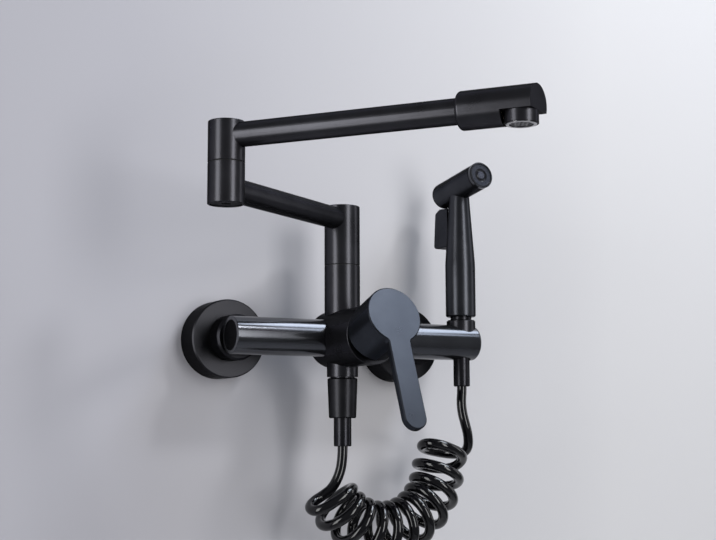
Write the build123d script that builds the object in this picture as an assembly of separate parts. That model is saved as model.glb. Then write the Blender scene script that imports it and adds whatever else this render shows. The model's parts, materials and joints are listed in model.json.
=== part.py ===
from build123d import *
import os
from math import acos, atan2, ceil, cos, degrees, dist, pi, radians, sin, sqrt, tan

# Wall mounted pot filler with a folding two-piece spout and a hand sprayer on a curly hose.
# Millimetres. The wall is the plane Y = 0 and the tap stands out from it towards -Y; +Z is up.
# The origin is on the wall, midway between the two water inlets.

# --- driving dimensions -------------------------------------------------------------------
SEAT = 0.05  # clearance of a piece seated in another piece of the same assembly
RUN = 0.06  # radial running clearance of a turning or sliding fit
FACE = 0.08  # gap between faces that turn on each other
EDGE = 0.6  # broken edge on turned pieces

INLET_SPACING = 150.0  # between the hot and the cold inlet
AXIS_OUT = 55.3  # bar and column axis from the wall
THREAD_R = 10.48  # G1/2 male thread, major radius
THREAD_LENGTH = 14.0
UNION_BODY_R = 12.5
UNION_NOSE_R = 13.1  # G3/4 male thread of the union
UNION_NOSE_LENGTH = 9.0
UNION_BORE_R = 8.0
FLANGE_R = 28.5
FLANGE_DEPTH = 22.4
FLANGE_WALL = 1.6
FLANGE_EDGE = 0.9
NUT_R = 16.5
NUT_LENGTH = 16.0
NUT_LIP = 2.5
NUT_LIP_BORE_R = 11.2
NUT_SHOULDER = 1.6
NUT_FILLET = 1.2
WASHER_T = 1.8
WASHER_INSET = 0.4  # washer inside the union's mouth
WASHER_LAP = 0.5  # washer over the union's bore
SCREEN_T = 0.5
SCREEN_SET = 0.6
SCREEN_PITCH = 2.0
SCREEN_REACH = 3  # holes from the middle to the edge
SCREEN_HOLE_R = 0.65
SEAL_RING_R = 1.6  # section of the ring that grips the union inside the flange

BAR_R = 13.4
BAR_WALL = 2.6
BAR_LEFT_OVERHANG = 13.5  # past the left inlet
BAR_END_FILLET = 2.2
BAR_LEFT_FILLET = 0.5
BAR_PLUG_SET = 0.5
BAR_PLUG_FILLET = 0.4
TAIL_SLACK = 0.3  # inlet tail inside the union nut
BAR_SOCKET = 4.0  # how far a bar goes into the body
CAP_T = 3.0
BOSS_R = 11.0  # bar's inlet tail inside the union nut

BODY_R = 21.0
BODY_BACK_OUT = 39.9  # body's back end from the wall
BODY_RIM_OUT = 100.5  # body's front rim from the wall
BODY_BACK_FILLET = 1.2
BODY_RIM_FILLET = 0.5
PASSAGE_R = 8.0  # upright water way through the body
PASSAGE_WALL = 1.6  # left where a port comes beside it
PORT_R = 2.8
PORT_X = 8.0
PORT_Z = 5.5

COLUMN_R = 13.0
COLUMN_SEAM_Z = 53.1
COLUMN_TOP_Z = 97.3
COLUMN_SLEEVE_BORE_R = 10.0
SPIGOT_R = 9.0
SPIGOT_BORE_R = 5.5
SPIGOT_TOP_Z = 77.3
SPIGOT_FOOT_Z = 10.0
HEAD_ROOF = 2.2
SEAM_WASHER_T = 0.4

RING_SECTION_R = 0.9  # O-ring section
RING_GROOVE = 2.2

ARM_R = 8.1
ARM_WALL = 1.2
ARM_LOW_Z = 87.6
ARM_HIGH_Z = 121.4
ARM_LOW_LENGTH = 146.6  # column axis to elbow axis
ARM_LOW_HEADING = -148.85  # degrees from +X, seen from above
ARM_HIGH_HEADING = -52.4
ELBOW_R = 12.0
ELBOW_BOTTOM_Z = 76.9
ELBOW_SEAM_Z = 103.8
ELBOW_TOP_Z = 130.7
ELBOW_SPIGOT_R = 8.0
ELBOW_SPIGOT_BORE_R = 5.0
ELBOW_CLIP_BORE_R = 10.35
ELBOW_CLIP_DEPTH = 6.3
ELBOW_PLUG_T = 2.6
ELBOW_PLUG_SET = 0.5
ELBOW_THREAD = 8.0
CLIP_T = 1.0
CLIP_R = 9.6

NOZZLE_R = 11.85
NOZZLE_START = 157.0  # along the upper arm, from the elbow axis
NOZZLE_STEP = 184.5
NOZZLE_TIP = 205.1
NOZZLE_SLANT = 8.6  # degrees, end face turned towards the wall side
NOZZLE_FLAT = 4.0  # flat underside below the arm axis
NOZZLE_FILLET = 2.4
OUTLET_AT = 194.6
OUTLET_R = 10.3
OUTLET_DROP = 11.3
OUTLET_BORE_R = 9.2
TIP_SPIGOT_BORE_R = 4.5
ARM_HIGH_END = 171.0
TIP_SPIGOT_END = 184.0
AERATOR_SHELL_WALL = 1.2
AERATOR_PROUD = 0.5

CARTRIDGE_R = 17.4
CARTRIDGE_WALL = 2.4
CARTRIDGE_FLOOR_OUT = 71.5  # floor of the body's cartridge bore, from the wall
BASE_SEAL_T = 1.0
CARTRIDGE_FLOOR_T = 3.0
DISC_T = 3.9
SLIDE_DISC_R = 9.8
SLIDE_DISC_T = 7.4
SLIDE_TRAVEL = 4.85
ROTOR_R = 10.0
ROTOR_FLANGE_R = 12.5
ROTOR_FLANGE_T = 1.2
COLLAR_R = 12.5
COLLAR_END_OUT = 104.0
SHOULDER_OUT = 90.0
LOCK_NUT_T = 4.0
LOCK_NUT_R = 18.4
DOME_R = 16.5
DOME_WALL = 1.5
DOME_OPENING = 11.5  # from the pivot to the dome's open end
PIVOT_OUT = 98.5
PIN_R = 1.5
STEM_WIDTH = 8.0
STEM_TAIL_R = 2.5
STEM_TAIL = 14.8
STEM_NOSE = 23.6
SLOT_HALF = 7.6

HANDLE_R = 20.5
HANDLE_WALL = 2.5
HANDLE_FACE = 33.2  # from the pivot to the handle's flat face
HANDLE_RIM = 2.5  # from the pivot to the skirt's rim
HANDLE_CAP_T = 6.0
HANDLE_BOSS_R = 7.0
HANDLE_BOSS_START = 17.0
HANDLE_LIFT = 20.8  # degrees from shut to open; it is modelled open
HANDLE_RELIEF = 0.6  # gap between the lifted skirt and the body's rim
LEVER_LENGTH = 82.5
LEVER_WIDTH = 17.0
LEVER_T = 4.5
LEVER_NECK_FILLET = 3.0
LEVER_EDGE = 0.8

HOLDER_X = 103.9
HOLDER_END = 10.6  # bar past the holder's axis
HOLDER_R = 11.0
HOLDER_LAND = 4.0  # solid bar beside the holder
HOLDER_TOP_Z = 17.3
LINER_R = 8.6
LINER_FOOT_Z = 3.0
HOLDER_BORE_R = 7.0
TAIL_TOP_R = 8.0
TAIL_FOOT_R = 6.4
TAIL_GAP = 0.3  # clearance of the sprayer's cone in its liner

SPRAYER_FOOT_Z = 20.0
GRIP_R = 11.5
GRIP_TOP_Z = 60.8
NECK_R = 7.9
NECK_Z = 110.8
GRIP_WALL = 2.0
HEAD_R = 10.25
HEAD_TILT = 8.8  # degrees, spray face up
HEAD_Z = 121.1  # where the head's axis crosses the grip's axis
HEAD_FRONT = 31.2
HEAD_BACK = 25.0
HEAD_FILLET = 3.2
FACE_RING_T = 3.0
FACE_RING_WALL = 1.6
FACE_GROOVE = 0.8
PLATE_T = 2.2
WATERWAY_R = 3.3
WATERWAY_WALL = 0.8

TRIGGER_HALF = 5.2
TRIGGER_TONGUE_HALF = 3.4  # narrow upper part, inside the grip
TRIGGER_TONGUE_Z = 96.0
TRIGGER_TONGUE_OUT = 9.8
TRIGGER_SIDE_GAP = 0.3
TRIGGER_WALL = 1.6
TRIGGER_DEPTH = 27.6  # from the grip's axis to the back of the trigger
TRIGGER_FLARE = 1.9  # further back at the foot
TRIGGER_SLOPE = 6.5  # sloped top corner
TRIGGER_CORNER_R = 2.8
TRIGGER_PIN_OUT = 6.6  # behind the grip's axis
TRIGGER_PIN_Z = 102.8
TRIGGER_PIN_R = 1.2
TRIGGER_PIN_HALF = 5.2
TRIGGER_LUG = 2.6  # around the pin
TRIGGER_PRESS = 8.0  # degrees
TRIGGER_BOTTOM_Z = 75.8
TRIGGER_TOP_Z = 106.8
POCKET_OUT = 3.8
PLUNGER_Z = 86.8
PLUNGER_R = 1.6
PLUNGER_START = 0.5  # ahead of the grip's axis
STOP_HALF = 1.0  # trigger's rib that bears on the plunger
PLUNGER_HEAD_R = 2.8
PLUNGER_HEAD_T = 1.0
PLUNGER_HEAD_OUT = 9.2  # plunger head's back face behind the grip's axis
VALVE_HEIGHT = 12.0
VALVE_R = 3.5
VALVE_SEAT_R = 0.8
VALVE_WEB = 1.0
SPRING_WIRE_R = 0.3
SPRING_R = 2.1
SPRING_TURNS = 4
TAIL_SCREWED = 6.0  # the sprayer's cone inside its grip

OUTLET_COLLAR_R = 11.3
OUTLET_COLLAR_Z = -27.8
OUTLET_MALE_R = 8.8
OUTLET_MALE_LENGTH = 9.4
OUTLET_WAY_R = 5.0
HOSE_NUT_TOP_R = 10.95
HOSE_NUT_FOOT_R = 9.9
HOSE_NUT_GROOVE = 0.8
HOSE_NUT_FOOT_Z = -57.4
FERRULE_R = 6.36
FERRULE_FOOT_Z = -77.6
FERRULE_NECK_R = 5.1
HOSE_WASHER_T = 1.5
CONNECTOR_R = 6.2
CONNECTOR_FOOT_Z = -33.3
HOSE_R = 3.7
HOSE_BORE_R = 2.2
FITTING_BORE_R = 2.6

CURL_R = 16.6  # hose centreline about the coil's own axis
CURL_PITCH = 12.941  # along the coil's own axis
EVEN_START = 0.28  # turns where the even curls begin and end
EVEN_END = 9.9
TAIL_JOIN = 1.0  # straight run where the coil meets each tail
CURL_STEPS = 8  # joints in one curl
CURL_START = -0.18  # of a turn; a whole number is the outer side of the U
BEND_X = 31.8  # middle of the U that the coil hangs in
BEND_Z = -87.5
BEND_R = 49.5
BEND_START = 206.0  # degrees, on the body's side
BEND_END = 345.0
COIL_LEAN_X = 0.04  # the U leans towards the front and the body as it goes down
COIL_LEAN_Y = 0.14
COIL_LEAN_Z = -85.0  # height where the U is right under the bar

# --- places that follow from the dimensions -----------------------------------------------
AXIS_Y = -AXIS_OUT
INLET_X = INLET_SPACING / 2
BAR_LEFT_X = -INLET_X - BAR_LEFT_OVERHANG
BAR_RIGHT_X = HOLDER_X + HOLDER_END
RIM_Y = -BODY_RIM_OUT
PIVOT = Vector(0, -PIVOT_OUT, 0)
COLUMN = Vector(0, AXIS_Y, 0)
LOW_WAY = Vector(cos(radians(ARM_LOW_HEADING)), sin(radians(ARM_LOW_HEADING)), 0)
HIGH_WAY = Vector(cos(radians(ARM_HIGH_HEADING)), sin(radians(ARM_HIGH_HEADING)), 0)
ELBOW = COLUMN + LOW_WAY * ARM_LOW_LENGTH
LOW_START = COLUMN + Vector(0, 0, ARM_LOW_Z)
HIGH_START = ELBOW + Vector(0, 0, ARM_HIGH_Z)
NOZZLE_PLACE = Plane(origin=HIGH_START, x_dir=HIGH_WAY, z_dir=(0, 0, 1))
HOLDER = Vector(HOLDER_X, AXIS_Y, 0)
UP = Vector(0, 0, 1)
OUT = Vector(0, -1, 0)
RIGHT = Vector(1, 0, 0)


# --- tools --------------------------------------------------------------------------------
def rod(radius, start, end):
    """A plain cylinder between two points."""
    way = end - start
    return Plane(origin=start, z_dir=way) * Cylinder(
        radius, way.length, align=(Align.CENTER, Align.CENTER, Align.MIN)
    )


def pipe(outer, inner, start, end):
    return rod(outer, start, end) - rod(inner, start, end)


def turned(outline, origin=Vector(0, 0, 0), way=UP):
    """A solid of revolution. The outline is (radius, distance along the way[, rounding])."""
    profile = make_face(Plane.XZ * Polyline(*[(p[0], p[1]) for p in outline], close=True))
    for size in sorted({p[2] for p in outline if len(p) > 2}):
        corners = [p for p in outline if len(p) > 2 and p[2] == size]
        spots = [
            v for v in profile.vertices() if any(dist((v.X, v.Z), c[:2]) < 1e-6 for c in corners)
        ]
        profile = fillet(spots, size)
    solid = revolve(profile, Axis.Z, 360)
    return Plane(origin=origin, z_dir=way) * solid


def block(low, high):
    size = [b - a for a, b in zip(low, high)]
    middle = [(a + b) / 2 for a, b in zip(low, high)]
    return Pos(*middle) * Box(*size)


def ring(radius, section, centre, way=UP):
    return Plane(origin=centre, z_dir=way) * Torus(radius, section)


def tilted(shape, angle):
    """Lift a piece of the handle, modelled shut, about the pivot."""
    return Pos(*PIVOT) * Rot(-angle, 0, 0) * Pos(*(-PIVOT)) * shape


# --- wall side ----------------------------------------------------------------------------
UNION_FRONT = -(FLANGE_DEPTH + UNION_NOSE_LENGTH)
NUT_BACK = -(FLANGE_DEPTH + 1.0)
NUT_FRONT = NUT_BACK - NUT_LENGTH
BOSS_BACK = UNION_FRONT - WASHER_T


def both_sides(make):
    """The same piece at the left and at the right inlet."""
    return Compound(children=[make(-1), make(1)])


def wall_union(side):
    x = side * INLET_X
    return turned(
        [
            (UNION_BORE_R, -THREAD_LENGTH),
            (THREAD_R - EDGE, -THREAD_LENGTH),
            (THREAD_R, -THREAD_LENGTH + EDGE),
            (THREAD_R, 0),
            (UNION_BODY_R, 0),
            (UNION_BODY_R, FLANGE_DEPTH),
            (UNION_NOSE_R, FLANGE_DEPTH),
            (UNION_NOSE_R, -UNION_FRONT - EDGE),
            (UNION_NOSE_R - EDGE, -UNION_FRONT),
            (UNION_BORE_R, -UNION_FRONT),
        ],
        Vector(x, 0, 0),
        OUT,
    )


def wall_flange(side):
    x = side * INLET_X
    return turned(
        [
            (FLANGE_R - FLANGE_WALL, 0),
            (FLANGE_R, 0),
            (FLANGE_R, FLANGE_DEPTH - FLANGE_EDGE),
            (FLANGE_R - FLANGE_EDGE, FLANGE_DEPTH),
            (UNION_BODY_R + SEAT, FLANGE_DEPTH),
            (UNION_BODY_R + SEAT, FLANGE_DEPTH - FLANGE_WALL),
            (FLANGE_R - FLANGE_WALL, FLANGE_DEPTH - FLANGE_WALL),
        ],
        Vector(x, 0, 0),
        OUT,
    )


def flange_seal(side):
    """Rubber ring that grips the union and holds the flange against the wall."""
    out = FLANGE_DEPTH - FLANGE_WALL - SEAL_RING_R - SEAT
    centre = Vector(side * INLET_X, -out, 0)
    return ring(UNION_BODY_R + SEAL_RING_R + SEAT, SEAL_RING_R, centre, OUT)


def union_nut(side):
    x = side * INLET_X
    bore = UNION_NOSE_R + SEAT
    lip = NUT_LENGTH - NUT_LIP
    return turned(
        [
            (bore, 0),
            (NUT_R - EDGE, 0),
            (NUT_R, EDGE),
            (NUT_R, NUT_LENGTH - NUT_SHOULDER, NUT_FILLET),
            (NUT_R - NUT_SHOULDER, NUT_LENGTH),
            (NUT_LIP_BORE_R, NUT_LENGTH),
            (NUT_LIP_BORE_R, lip),
            (bore, lip),
        ],
        Vector(x, NUT_BACK, 0),
        OUT,
    )


def filter_washer(side):
    """Flat washer with a fine strainer moulded into it, in the union's mouth."""
    face = Vector(side * INLET_X, UNION_FRONT, 0)
    outer = UNION_NOSE_R - WASHER_INSET
    washer = pipe(outer, UNION_BORE_R - WASHER_LAP, face, face + OUT * WASHER_T)
    web = rod(UNION_BORE_R, face + OUT * SCREEN_SET, face + OUT * (SCREEN_SET + SCREEN_T))
    pitch = SCREEN_PITCH
    reach = SCREEN_REACH
    for ix in range(-reach, reach + 1):
        for iz in range(-reach, reach + 1):
            if ix * ix + iz * iz <= reach * reach:
                spot = face + Vector(ix * pitch, 0, iz * pitch)
                web -= rod(SCREEN_HOLE_R, spot, spot + OUT * 2 * WASHER_T)
    return washer + web


# --- bars ---------------------------------------------------------------------------------
def bar_blank(start_x, end_x, rounded):
    """A bar from the body (start) to its free end."""
    length = abs(end_x - start_x)
    way = RIGHT if end_x > start_x else -RIGHT
    return turned(
        [(0, 0), (BAR_R, 0), (BAR_R, length, rounded), (0, length)], Vector(start_x, AXIS_Y, 0), way
    )


def body_side_x():
    return sqrt(BODY_R**2 - BAR_R**2)


def inlet_tail(side):
    """The flanged tail that the union nut pulls against its washer."""
    x = side * INLET_X
    nose = BOSS_BACK
    flange_front = NUT_FRONT + NUT_LIP + SEAT
    return turned(
        [
            (0, -nose),
            (UNION_NOSE_R - TAIL_SLACK, -nose),
            (UNION_NOSE_R - TAIL_SLACK, -flange_front),
            (BOSS_R, -flange_front),
            (BOSS_R, AXIS_OUT),
            (0, AXIS_OUT),
        ],
        Vector(x, 0, 0),
        OUT,
    )


def bar_left():
    start = -body_side_x() + BAR_SOCKET
    bar = bar_blank(start, BAR_LEFT_X, BAR_LEFT_FILLET) + inlet_tail(-1)
    bar -= rod(BAR_R - BAR_WALL, Vector(start, AXIS_Y, 0), Vector(BAR_LEFT_X, AXIS_Y, 0))
    bar -= rod(UNION_BORE_R, Vector(-INLET_X, BOSS_BACK, 0), Vector(-INLET_X, AXIS_Y, 0))
    return bar


def bar_end_plug():
    """Closes the bar's left end, set a little back from its edge."""
    face = Vector(BAR_LEFT_X + BAR_PLUG_SET, AXIS_Y, 0)
    rim = BAR_R - BAR_WALL - SEAT
    return turned(
        [(0, 0), (rim, 0, BAR_PLUG_FILLET), (rim, CAP_T), (0, CAP_T)],
        face,
        RIGHT,
    )


def bar_right():
    start = body_side_x() - BAR_SOCKET
    hollow_end = HOLDER_X - HOLDER_R - HOLDER_LAND
    bar = bar_blank(start, BAR_RIGHT_X, BAR_END_FILLET) + inlet_tail(1)
    bar -= rod(BAR_R - BAR_WALL, Vector(start, AXIS_Y, 0), Vector(hollow_end, AXIS_Y, 0))
    bar -= rod(UNION_BORE_R, Vector(INLET_X, BOSS_BACK, 0), Vector(INLET_X, AXIS_Y, 0))
    bar -= rod(HOLDER_BORE_R, HOLDER - UP * 2 * BAR_R, HOLDER + UP * 2 * BAR_R)
    bar -= rod(LINER_R + SEAT, HOLDER + UP * LINER_FOOT_Z, HOLDER + UP * 2 * BAR_R)
    return bar


# --- body ---------------------------------------------------------------------------------
def mixer_body():
    body = turned(
        [
            (0, BODY_BACK_OUT),
            (BODY_R, BODY_BACK_OUT, BODY_BACK_FILLET),
            (BODY_R, BODY_RIM_OUT, BODY_RIM_FILLET),
            (0, BODY_RIM_OUT),
        ],
        Vector(0, 0, 0),
        OUT,
    )
    floor = Vector(0, -CARTRIDGE_FLOOR_OUT, 0)
    body -= rod(CARTRIDGE_R + SEAT, floor, Vector(0, -SHOULDER_OUT, 0))
    body -= rod(LOCK_NUT_R + SEAT, Vector(0, -SHOULDER_OUT, 0), Vector(0, RIM_Y - 1, 0))
    body -= rod(PASSAGE_R, COLUMN - UP * 2 * BODY_R, COLUMN + UP * 2 * BODY_R)
    for side in (-1, 1):
        socket = side * (body_side_x() - BAR_SOCKET)
        body -= rod(BAR_R + SEAT, Vector(socket, AXIS_Y, 0), Vector(side * 2 * BODY_R, AXIS_Y, 0))
        inner = side * (PASSAGE_R + PASSAGE_WALL)
        body -= rod(PORT_R, Vector(inner + side * PORT_R, AXIS_Y, 0), Vector(socket, AXIS_Y, 0))
        port = Vector(side * PORT_X, 0, -PORT_Z)
        body -= rod(PORT_R / 1.6, port + COLUMN, port + floor)
    mixed = Vector(0, 0, PORT_Z + 1.5)
    body -= rod(PORT_R, mixed + COLUMN, mixed + floor)
    return body


# --- column -------------------------------------------------------------------------------
def body_core():
    """The body's outer cylinder, for the pieces that sit on it."""
    return rod(BODY_R, Vector(0, -BODY_BACK_OUT, 0), Vector(0, RIM_Y, 0))


def column_sleeve():
    sleeve = pipe(COLUMN_R, COLUMN_SLEEVE_BORE_R, COLUMN, COLUMN + UP * COLUMN_SEAM_Z)
    return sleeve - body_core()


def grooved_spigot(radius, foot, top, grooves, way_out):
    outline = [(way_out, foot), (radius, foot)]
    for middle, width, depth in grooves:
        low, high = middle - width / 2, middle + width / 2
        outline += [(radius, low), (radius - depth, low), (radius - depth, high), (radius, high)]
    return outline + [(radius, top), (way_out, top)]


COLUMN_RING_Z = (66.8, 72.3)
COLUMN_SCREW_Z = 59.8
RING_DEPTH = 2 * RING_SECTION_R - RUN / 2
SCREW_R = 2.0
SCREW_TIP = 1.2


def column_spigot():
    """Screwed into the body; the spout's lower joint turns on it."""
    grooves = [(COLUMN_SCREW_Z, 2 * SCREW_R + 0.4, SCREW_TIP + 0.2)]
    grooves += [(z, RING_GROOVE, RING_DEPTH) for z in COLUMN_RING_Z]
    outline = grooved_spigot(SPIGOT_R, BODY_R, SPIGOT_TOP_Z, grooves, SPIGOT_BORE_R)
    foot = [
        (SPIGOT_BORE_R, SPIGOT_FOOT_Z),
        (PASSAGE_R - SEAT, SPIGOT_FOOT_Z),
        (PASSAGE_R - SEAT, BODY_R),
    ]
    return turned(foot + outline[1:], COLUMN)


def column_rings():
    centre_r = SPIGOT_R + RUN / 2 - RING_SECTION_R
    return Compound(children=[ring(centre_r, RING_SECTION_R - 0.01, COLUMN + UP * z) for z in COLUMN_RING_Z])


def column_washer():
    base = COLUMN + UP * (COLUMN_SEAM_Z + FACE)
    return pipe(COLUMN_R - 0.6, SPIGOT_R + RUN, base, base + UP * SEAM_WASHER_T)


def screw(radius, tip_r, length, tip, start, way):
    """A hexagon socket grub screw with a plain tip; start is its outer end."""
    body = rod(radius, start, start + way * (length - tip))
    body += rod(tip_r, start + way * (length - tip), start + way * length)
    socket = Plane(origin=start, z_dir=way) * extrude(RegularPolygon(radius * 0.55, 6), length * 0.4)
    return body - socket


def column_head():
    """Upper sleeve of the column; the lower arm is brazed into it."""
    low = COLUMN_SEAM_Z + SEAM_WASHER_T + FACE
    head = turned(
        [
            (SPIGOT_R + RUN, low),
            (COLUMN_R - 0.3, low),
            (COLUMN_R, low + 0.3),
            (COLUMN_R, COLUMN_TOP_Z, EDGE),
            (0, COLUMN_TOP_Z),
            (0, COLUMN_TOP_Z - HEAD_ROOF),
            (SPIGOT_R + RUN, COLUMN_TOP_Z - HEAD_ROOF),
        ],
        COLUMN,
    )
    head -= rod(ARM_R, LOW_START, LOW_START + LOW_WAY * 2 * COLUMN_R)
    head -= rod(SCREW_R + SEAT, column_screw_end(), column_screw_end() - column_screw_way() * 20)
    head -= rod(SCREW_R + SEAT, column_screw_end(), COLUMN + UP * COLUMN_SCREW_Z)
    return head


def column_screw_way():
    return OUT  # the screw goes in from the wall side


def column_screw_end():
    return COLUMN + UP * COLUMN_SCREW_Z - OUT * (COLUMN_R - 0.5)


def column_screw():
    """Its plain tip rides in the spigot's groove and keeps the spout on."""
    length = COLUMN_R - 0.5 - SPIGOT_R + SCREW_TIP
    return screw(SCREW_R, SCREW_R * 0.7, length, SCREW_TIP + RUN, column_screw_end(), column_screw_way())


# --- lower arm and elbow ------------------------------------------------------------------
def arm_low():
    end = LOW_START + LOW_WAY * ARM_LOW_LENGTH
    tube = pipe(ARM_R, ARM_R - ARM_WALL, LOW_START, end)
    tube -= rod(SPIGOT_R + RUN, COLUMN, COLUMN + UP * 2 * ARM_LOW_Z)
    room = ELBOW + UP * ELBOW_BOTTOM_Z
    tube -= rod(ELBOW_CLIP_BORE_R, room, room + UP * ELBOW_CLIP_DEPTH)
    return tube - rod(ELBOW_SPIGOT_R + 4 * RUN, ELBOW, ELBOW + UP * 2 * ARM_LOW_Z)


ELBOW_RING_Z = (97.7, 101.0)
CLIP_TOP_Z = ELBOW_BOTTOM_Z + ELBOW_CLIP_DEPTH - FACE


def elbow_low():
    top = ELBOW_SEAM_Z - SEAM_WASHER_T / 2
    step = ELBOW_BOTTOM_Z + ELBOW_CLIP_DEPTH
    shell = turned(
        [
            (ELBOW_CLIP_BORE_R, ELBOW_BOTTOM_Z),
            (ELBOW_R, ELBOW_BOTTOM_Z, EDGE),
            (ELBOW_R, top - 0.3),
            (ELBOW_R - 0.3, top),
            (ELBOW_SPIGOT_R + RUN, top),
            (ELBOW_SPIGOT_R + RUN, step),
            (ELBOW_CLIP_BORE_R, step),
        ],
        ELBOW,
    )
    return shell - rod(ARM_R, LOW_START, LOW_START + LOW_WAY * ARM_LOW_LENGTH)


def elbow_plug():
    """Screwed into the elbow's underside, with a hexagon socket."""
    foot = ELBOW_BOTTOM_Z + ELBOW_PLUG_SET
    plug = turned(
        [
            (0, foot),
            (ELBOW_CLIP_BORE_R - SEAT, foot, 0.4),
            (ELBOW_CLIP_BORE_R - SEAT, foot + ELBOW_PLUG_T),
            (0, foot + ELBOW_PLUG_T),
        ],
        ELBOW,
    )
    socket = Plane(origin=ELBOW + UP * foot, z_dir=UP) * extrude(RegularPolygon(3.5, 6), 1.6)
    return plug - socket


def elbow_washer():
    base = ELBOW + UP * (ELBOW_SEAM_Z - SEAM_WASHER_T / 2)
    return pipe(ELBOW_R - 0.6, ELBOW_SPIGOT_R + RUN, base, base + UP * SEAM_WASHER_T)


def elbow_spigot():
    """Screwed into the upper half; the lower half turns on it."""
    foot = ELBOW_BOTTOM_Z + ELBOW_PLUG_SET + ELBOW_PLUG_T + 1.0
    top = ELBOW_SEAM_Z + ELBOW_THREAD
    clip = (CLIP_TOP_Z - CLIP_T / 2, CLIP_T + 0.1, 0.9)
    grooves = [clip] + [(z, RING_GROOVE, RING_DEPTH) for z in ELBOW_RING_Z]
    spigot = turned(
        grooved_spigot(ELBOW_SPIGOT_R, foot, top, grooves, ELBOW_SPIGOT_BORE_R), ELBOW
    )
    middle = ELBOW + UP * (ARM_LOW_Z + 1.5)
    for way in (LOW_WAY, LOW_WAY.cross(UP)):
        spigot -= rod(3.2, middle - way * 2 * ELBOW_R, middle + way * 2 * ELBOW_R)
    return spigot


def elbow_rings():
    centre_r = ELBOW_SPIGOT_R + RUN / 2 - RING_SECTION_R
    return Compound(children=[ring(centre_r, RING_SECTION_R - 0.01, ELBOW + UP * z) for z in ELBOW_RING_Z])


def elbow_clip():
    """Spring clip on the spigot's foot, open at one side."""
    low = ELBOW + UP * (CLIP_TOP_Z - CLIP_T)
    clip = pipe(CLIP_R, ELBOW_SPIGOT_R - 0.85, low, low + UP * CLIP_T)
    gap = Plane(origin=low, x_dir=HIGH_WAY, z_dir=UP) * block((2, -2.2, -1), (2 * CLIP_R, 2.2, 2))
    return clip - gap


def elbow_high():
    low = ELBOW_SEAM_Z + SEAM_WASHER_T / 2 + FACE
    shell = turned(
        [
            (ELBOW_SPIGOT_R + SEAT, low),
            (ELBOW_R - 0.3, low),
            (ELBOW_R, low + 0.3),
            (ELBOW_R, ELBOW_TOP_Z, EDGE),
            (0, ELBOW_TOP_Z),
            (0, ELBOW_TOP_Z - HEAD_ROOF),
            (ELBOW_SPIGOT_R + SEAT, ELBOW_TOP_Z - HEAD_ROOF),
        ],
        ELBOW,
    )
    return shell - rod(ARM_R, HIGH_START, HIGH_START + HIGH_WAY * 2 * ELBOW_R)


def arm_high():
    tube = pipe(ARM_R, ARM_R - ARM_WALL, HIGH_START, HIGH_START + HIGH_WAY * ARM_HIGH_END)
    return tube - rod(ELBOW_SPIGOT_R + SEAT, ELBOW, ELBOW + UP * 2 * ARM_HIGH_Z)


# --- nozzle -------------------------------------------------------------------------------
TIP_RING_AT = (177.2, 181.2)
TIP_SCREW_AT = 173.4
NOZZLE_BORE_END = 185.5


def tip_spigot():
    """Brazed into the upper arm's end; the nozzle turns on it."""
    grooves = [(TIP_SCREW_AT, 2 * SCREW_R * 0.7 + 0.5, SCREW_TIP + 0.2)]
    grooves += [(t, RING_GROOVE, RING_DEPTH) for t in TIP_RING_AT]
    outline = grooved_spigot(ARM_R, ARM_HIGH_END, TIP_SPIGOT_END, grooves, TIP_SPIGOT_BORE_R)
    inner = ARM_R - ARM_WALL - SEAT
    foot = [(TIP_SPIGOT_BORE_R, ARM_HIGH_END - 7), (inner, ARM_HIGH_END - 7), (inner, ARM_HIGH_END)]
    return turned(foot + outline[1:], HIGH_START, HIGH_WAY)


def tip_rings():
    centre_r = ARM_R + RUN / 2 - RING_SECTION_R
    return Compound(
        children=[
            ring(centre_r, RING_SECTION_R - 0.01, HIGH_START + HIGH_WAY * t, HIGH_WAY) for t in TIP_RING_AT
        ]
    )


def nozzle_screw_place():
    side = HIGH_WAY.cross(UP) * -1
    return HIGH_START + HIGH_WAY * TIP_SCREW_AT + side * (NOZZLE_R - 0.5), side * -1


def nozzle_screw():
    start, way = nozzle_screw_place()
    length = NOZZLE_R - 0.5 - ARM_R + SCREW_TIP
    return screw(SCREW_R, SCREW_R * 0.7, length, SCREW_TIP + RUN, start, way)


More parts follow.
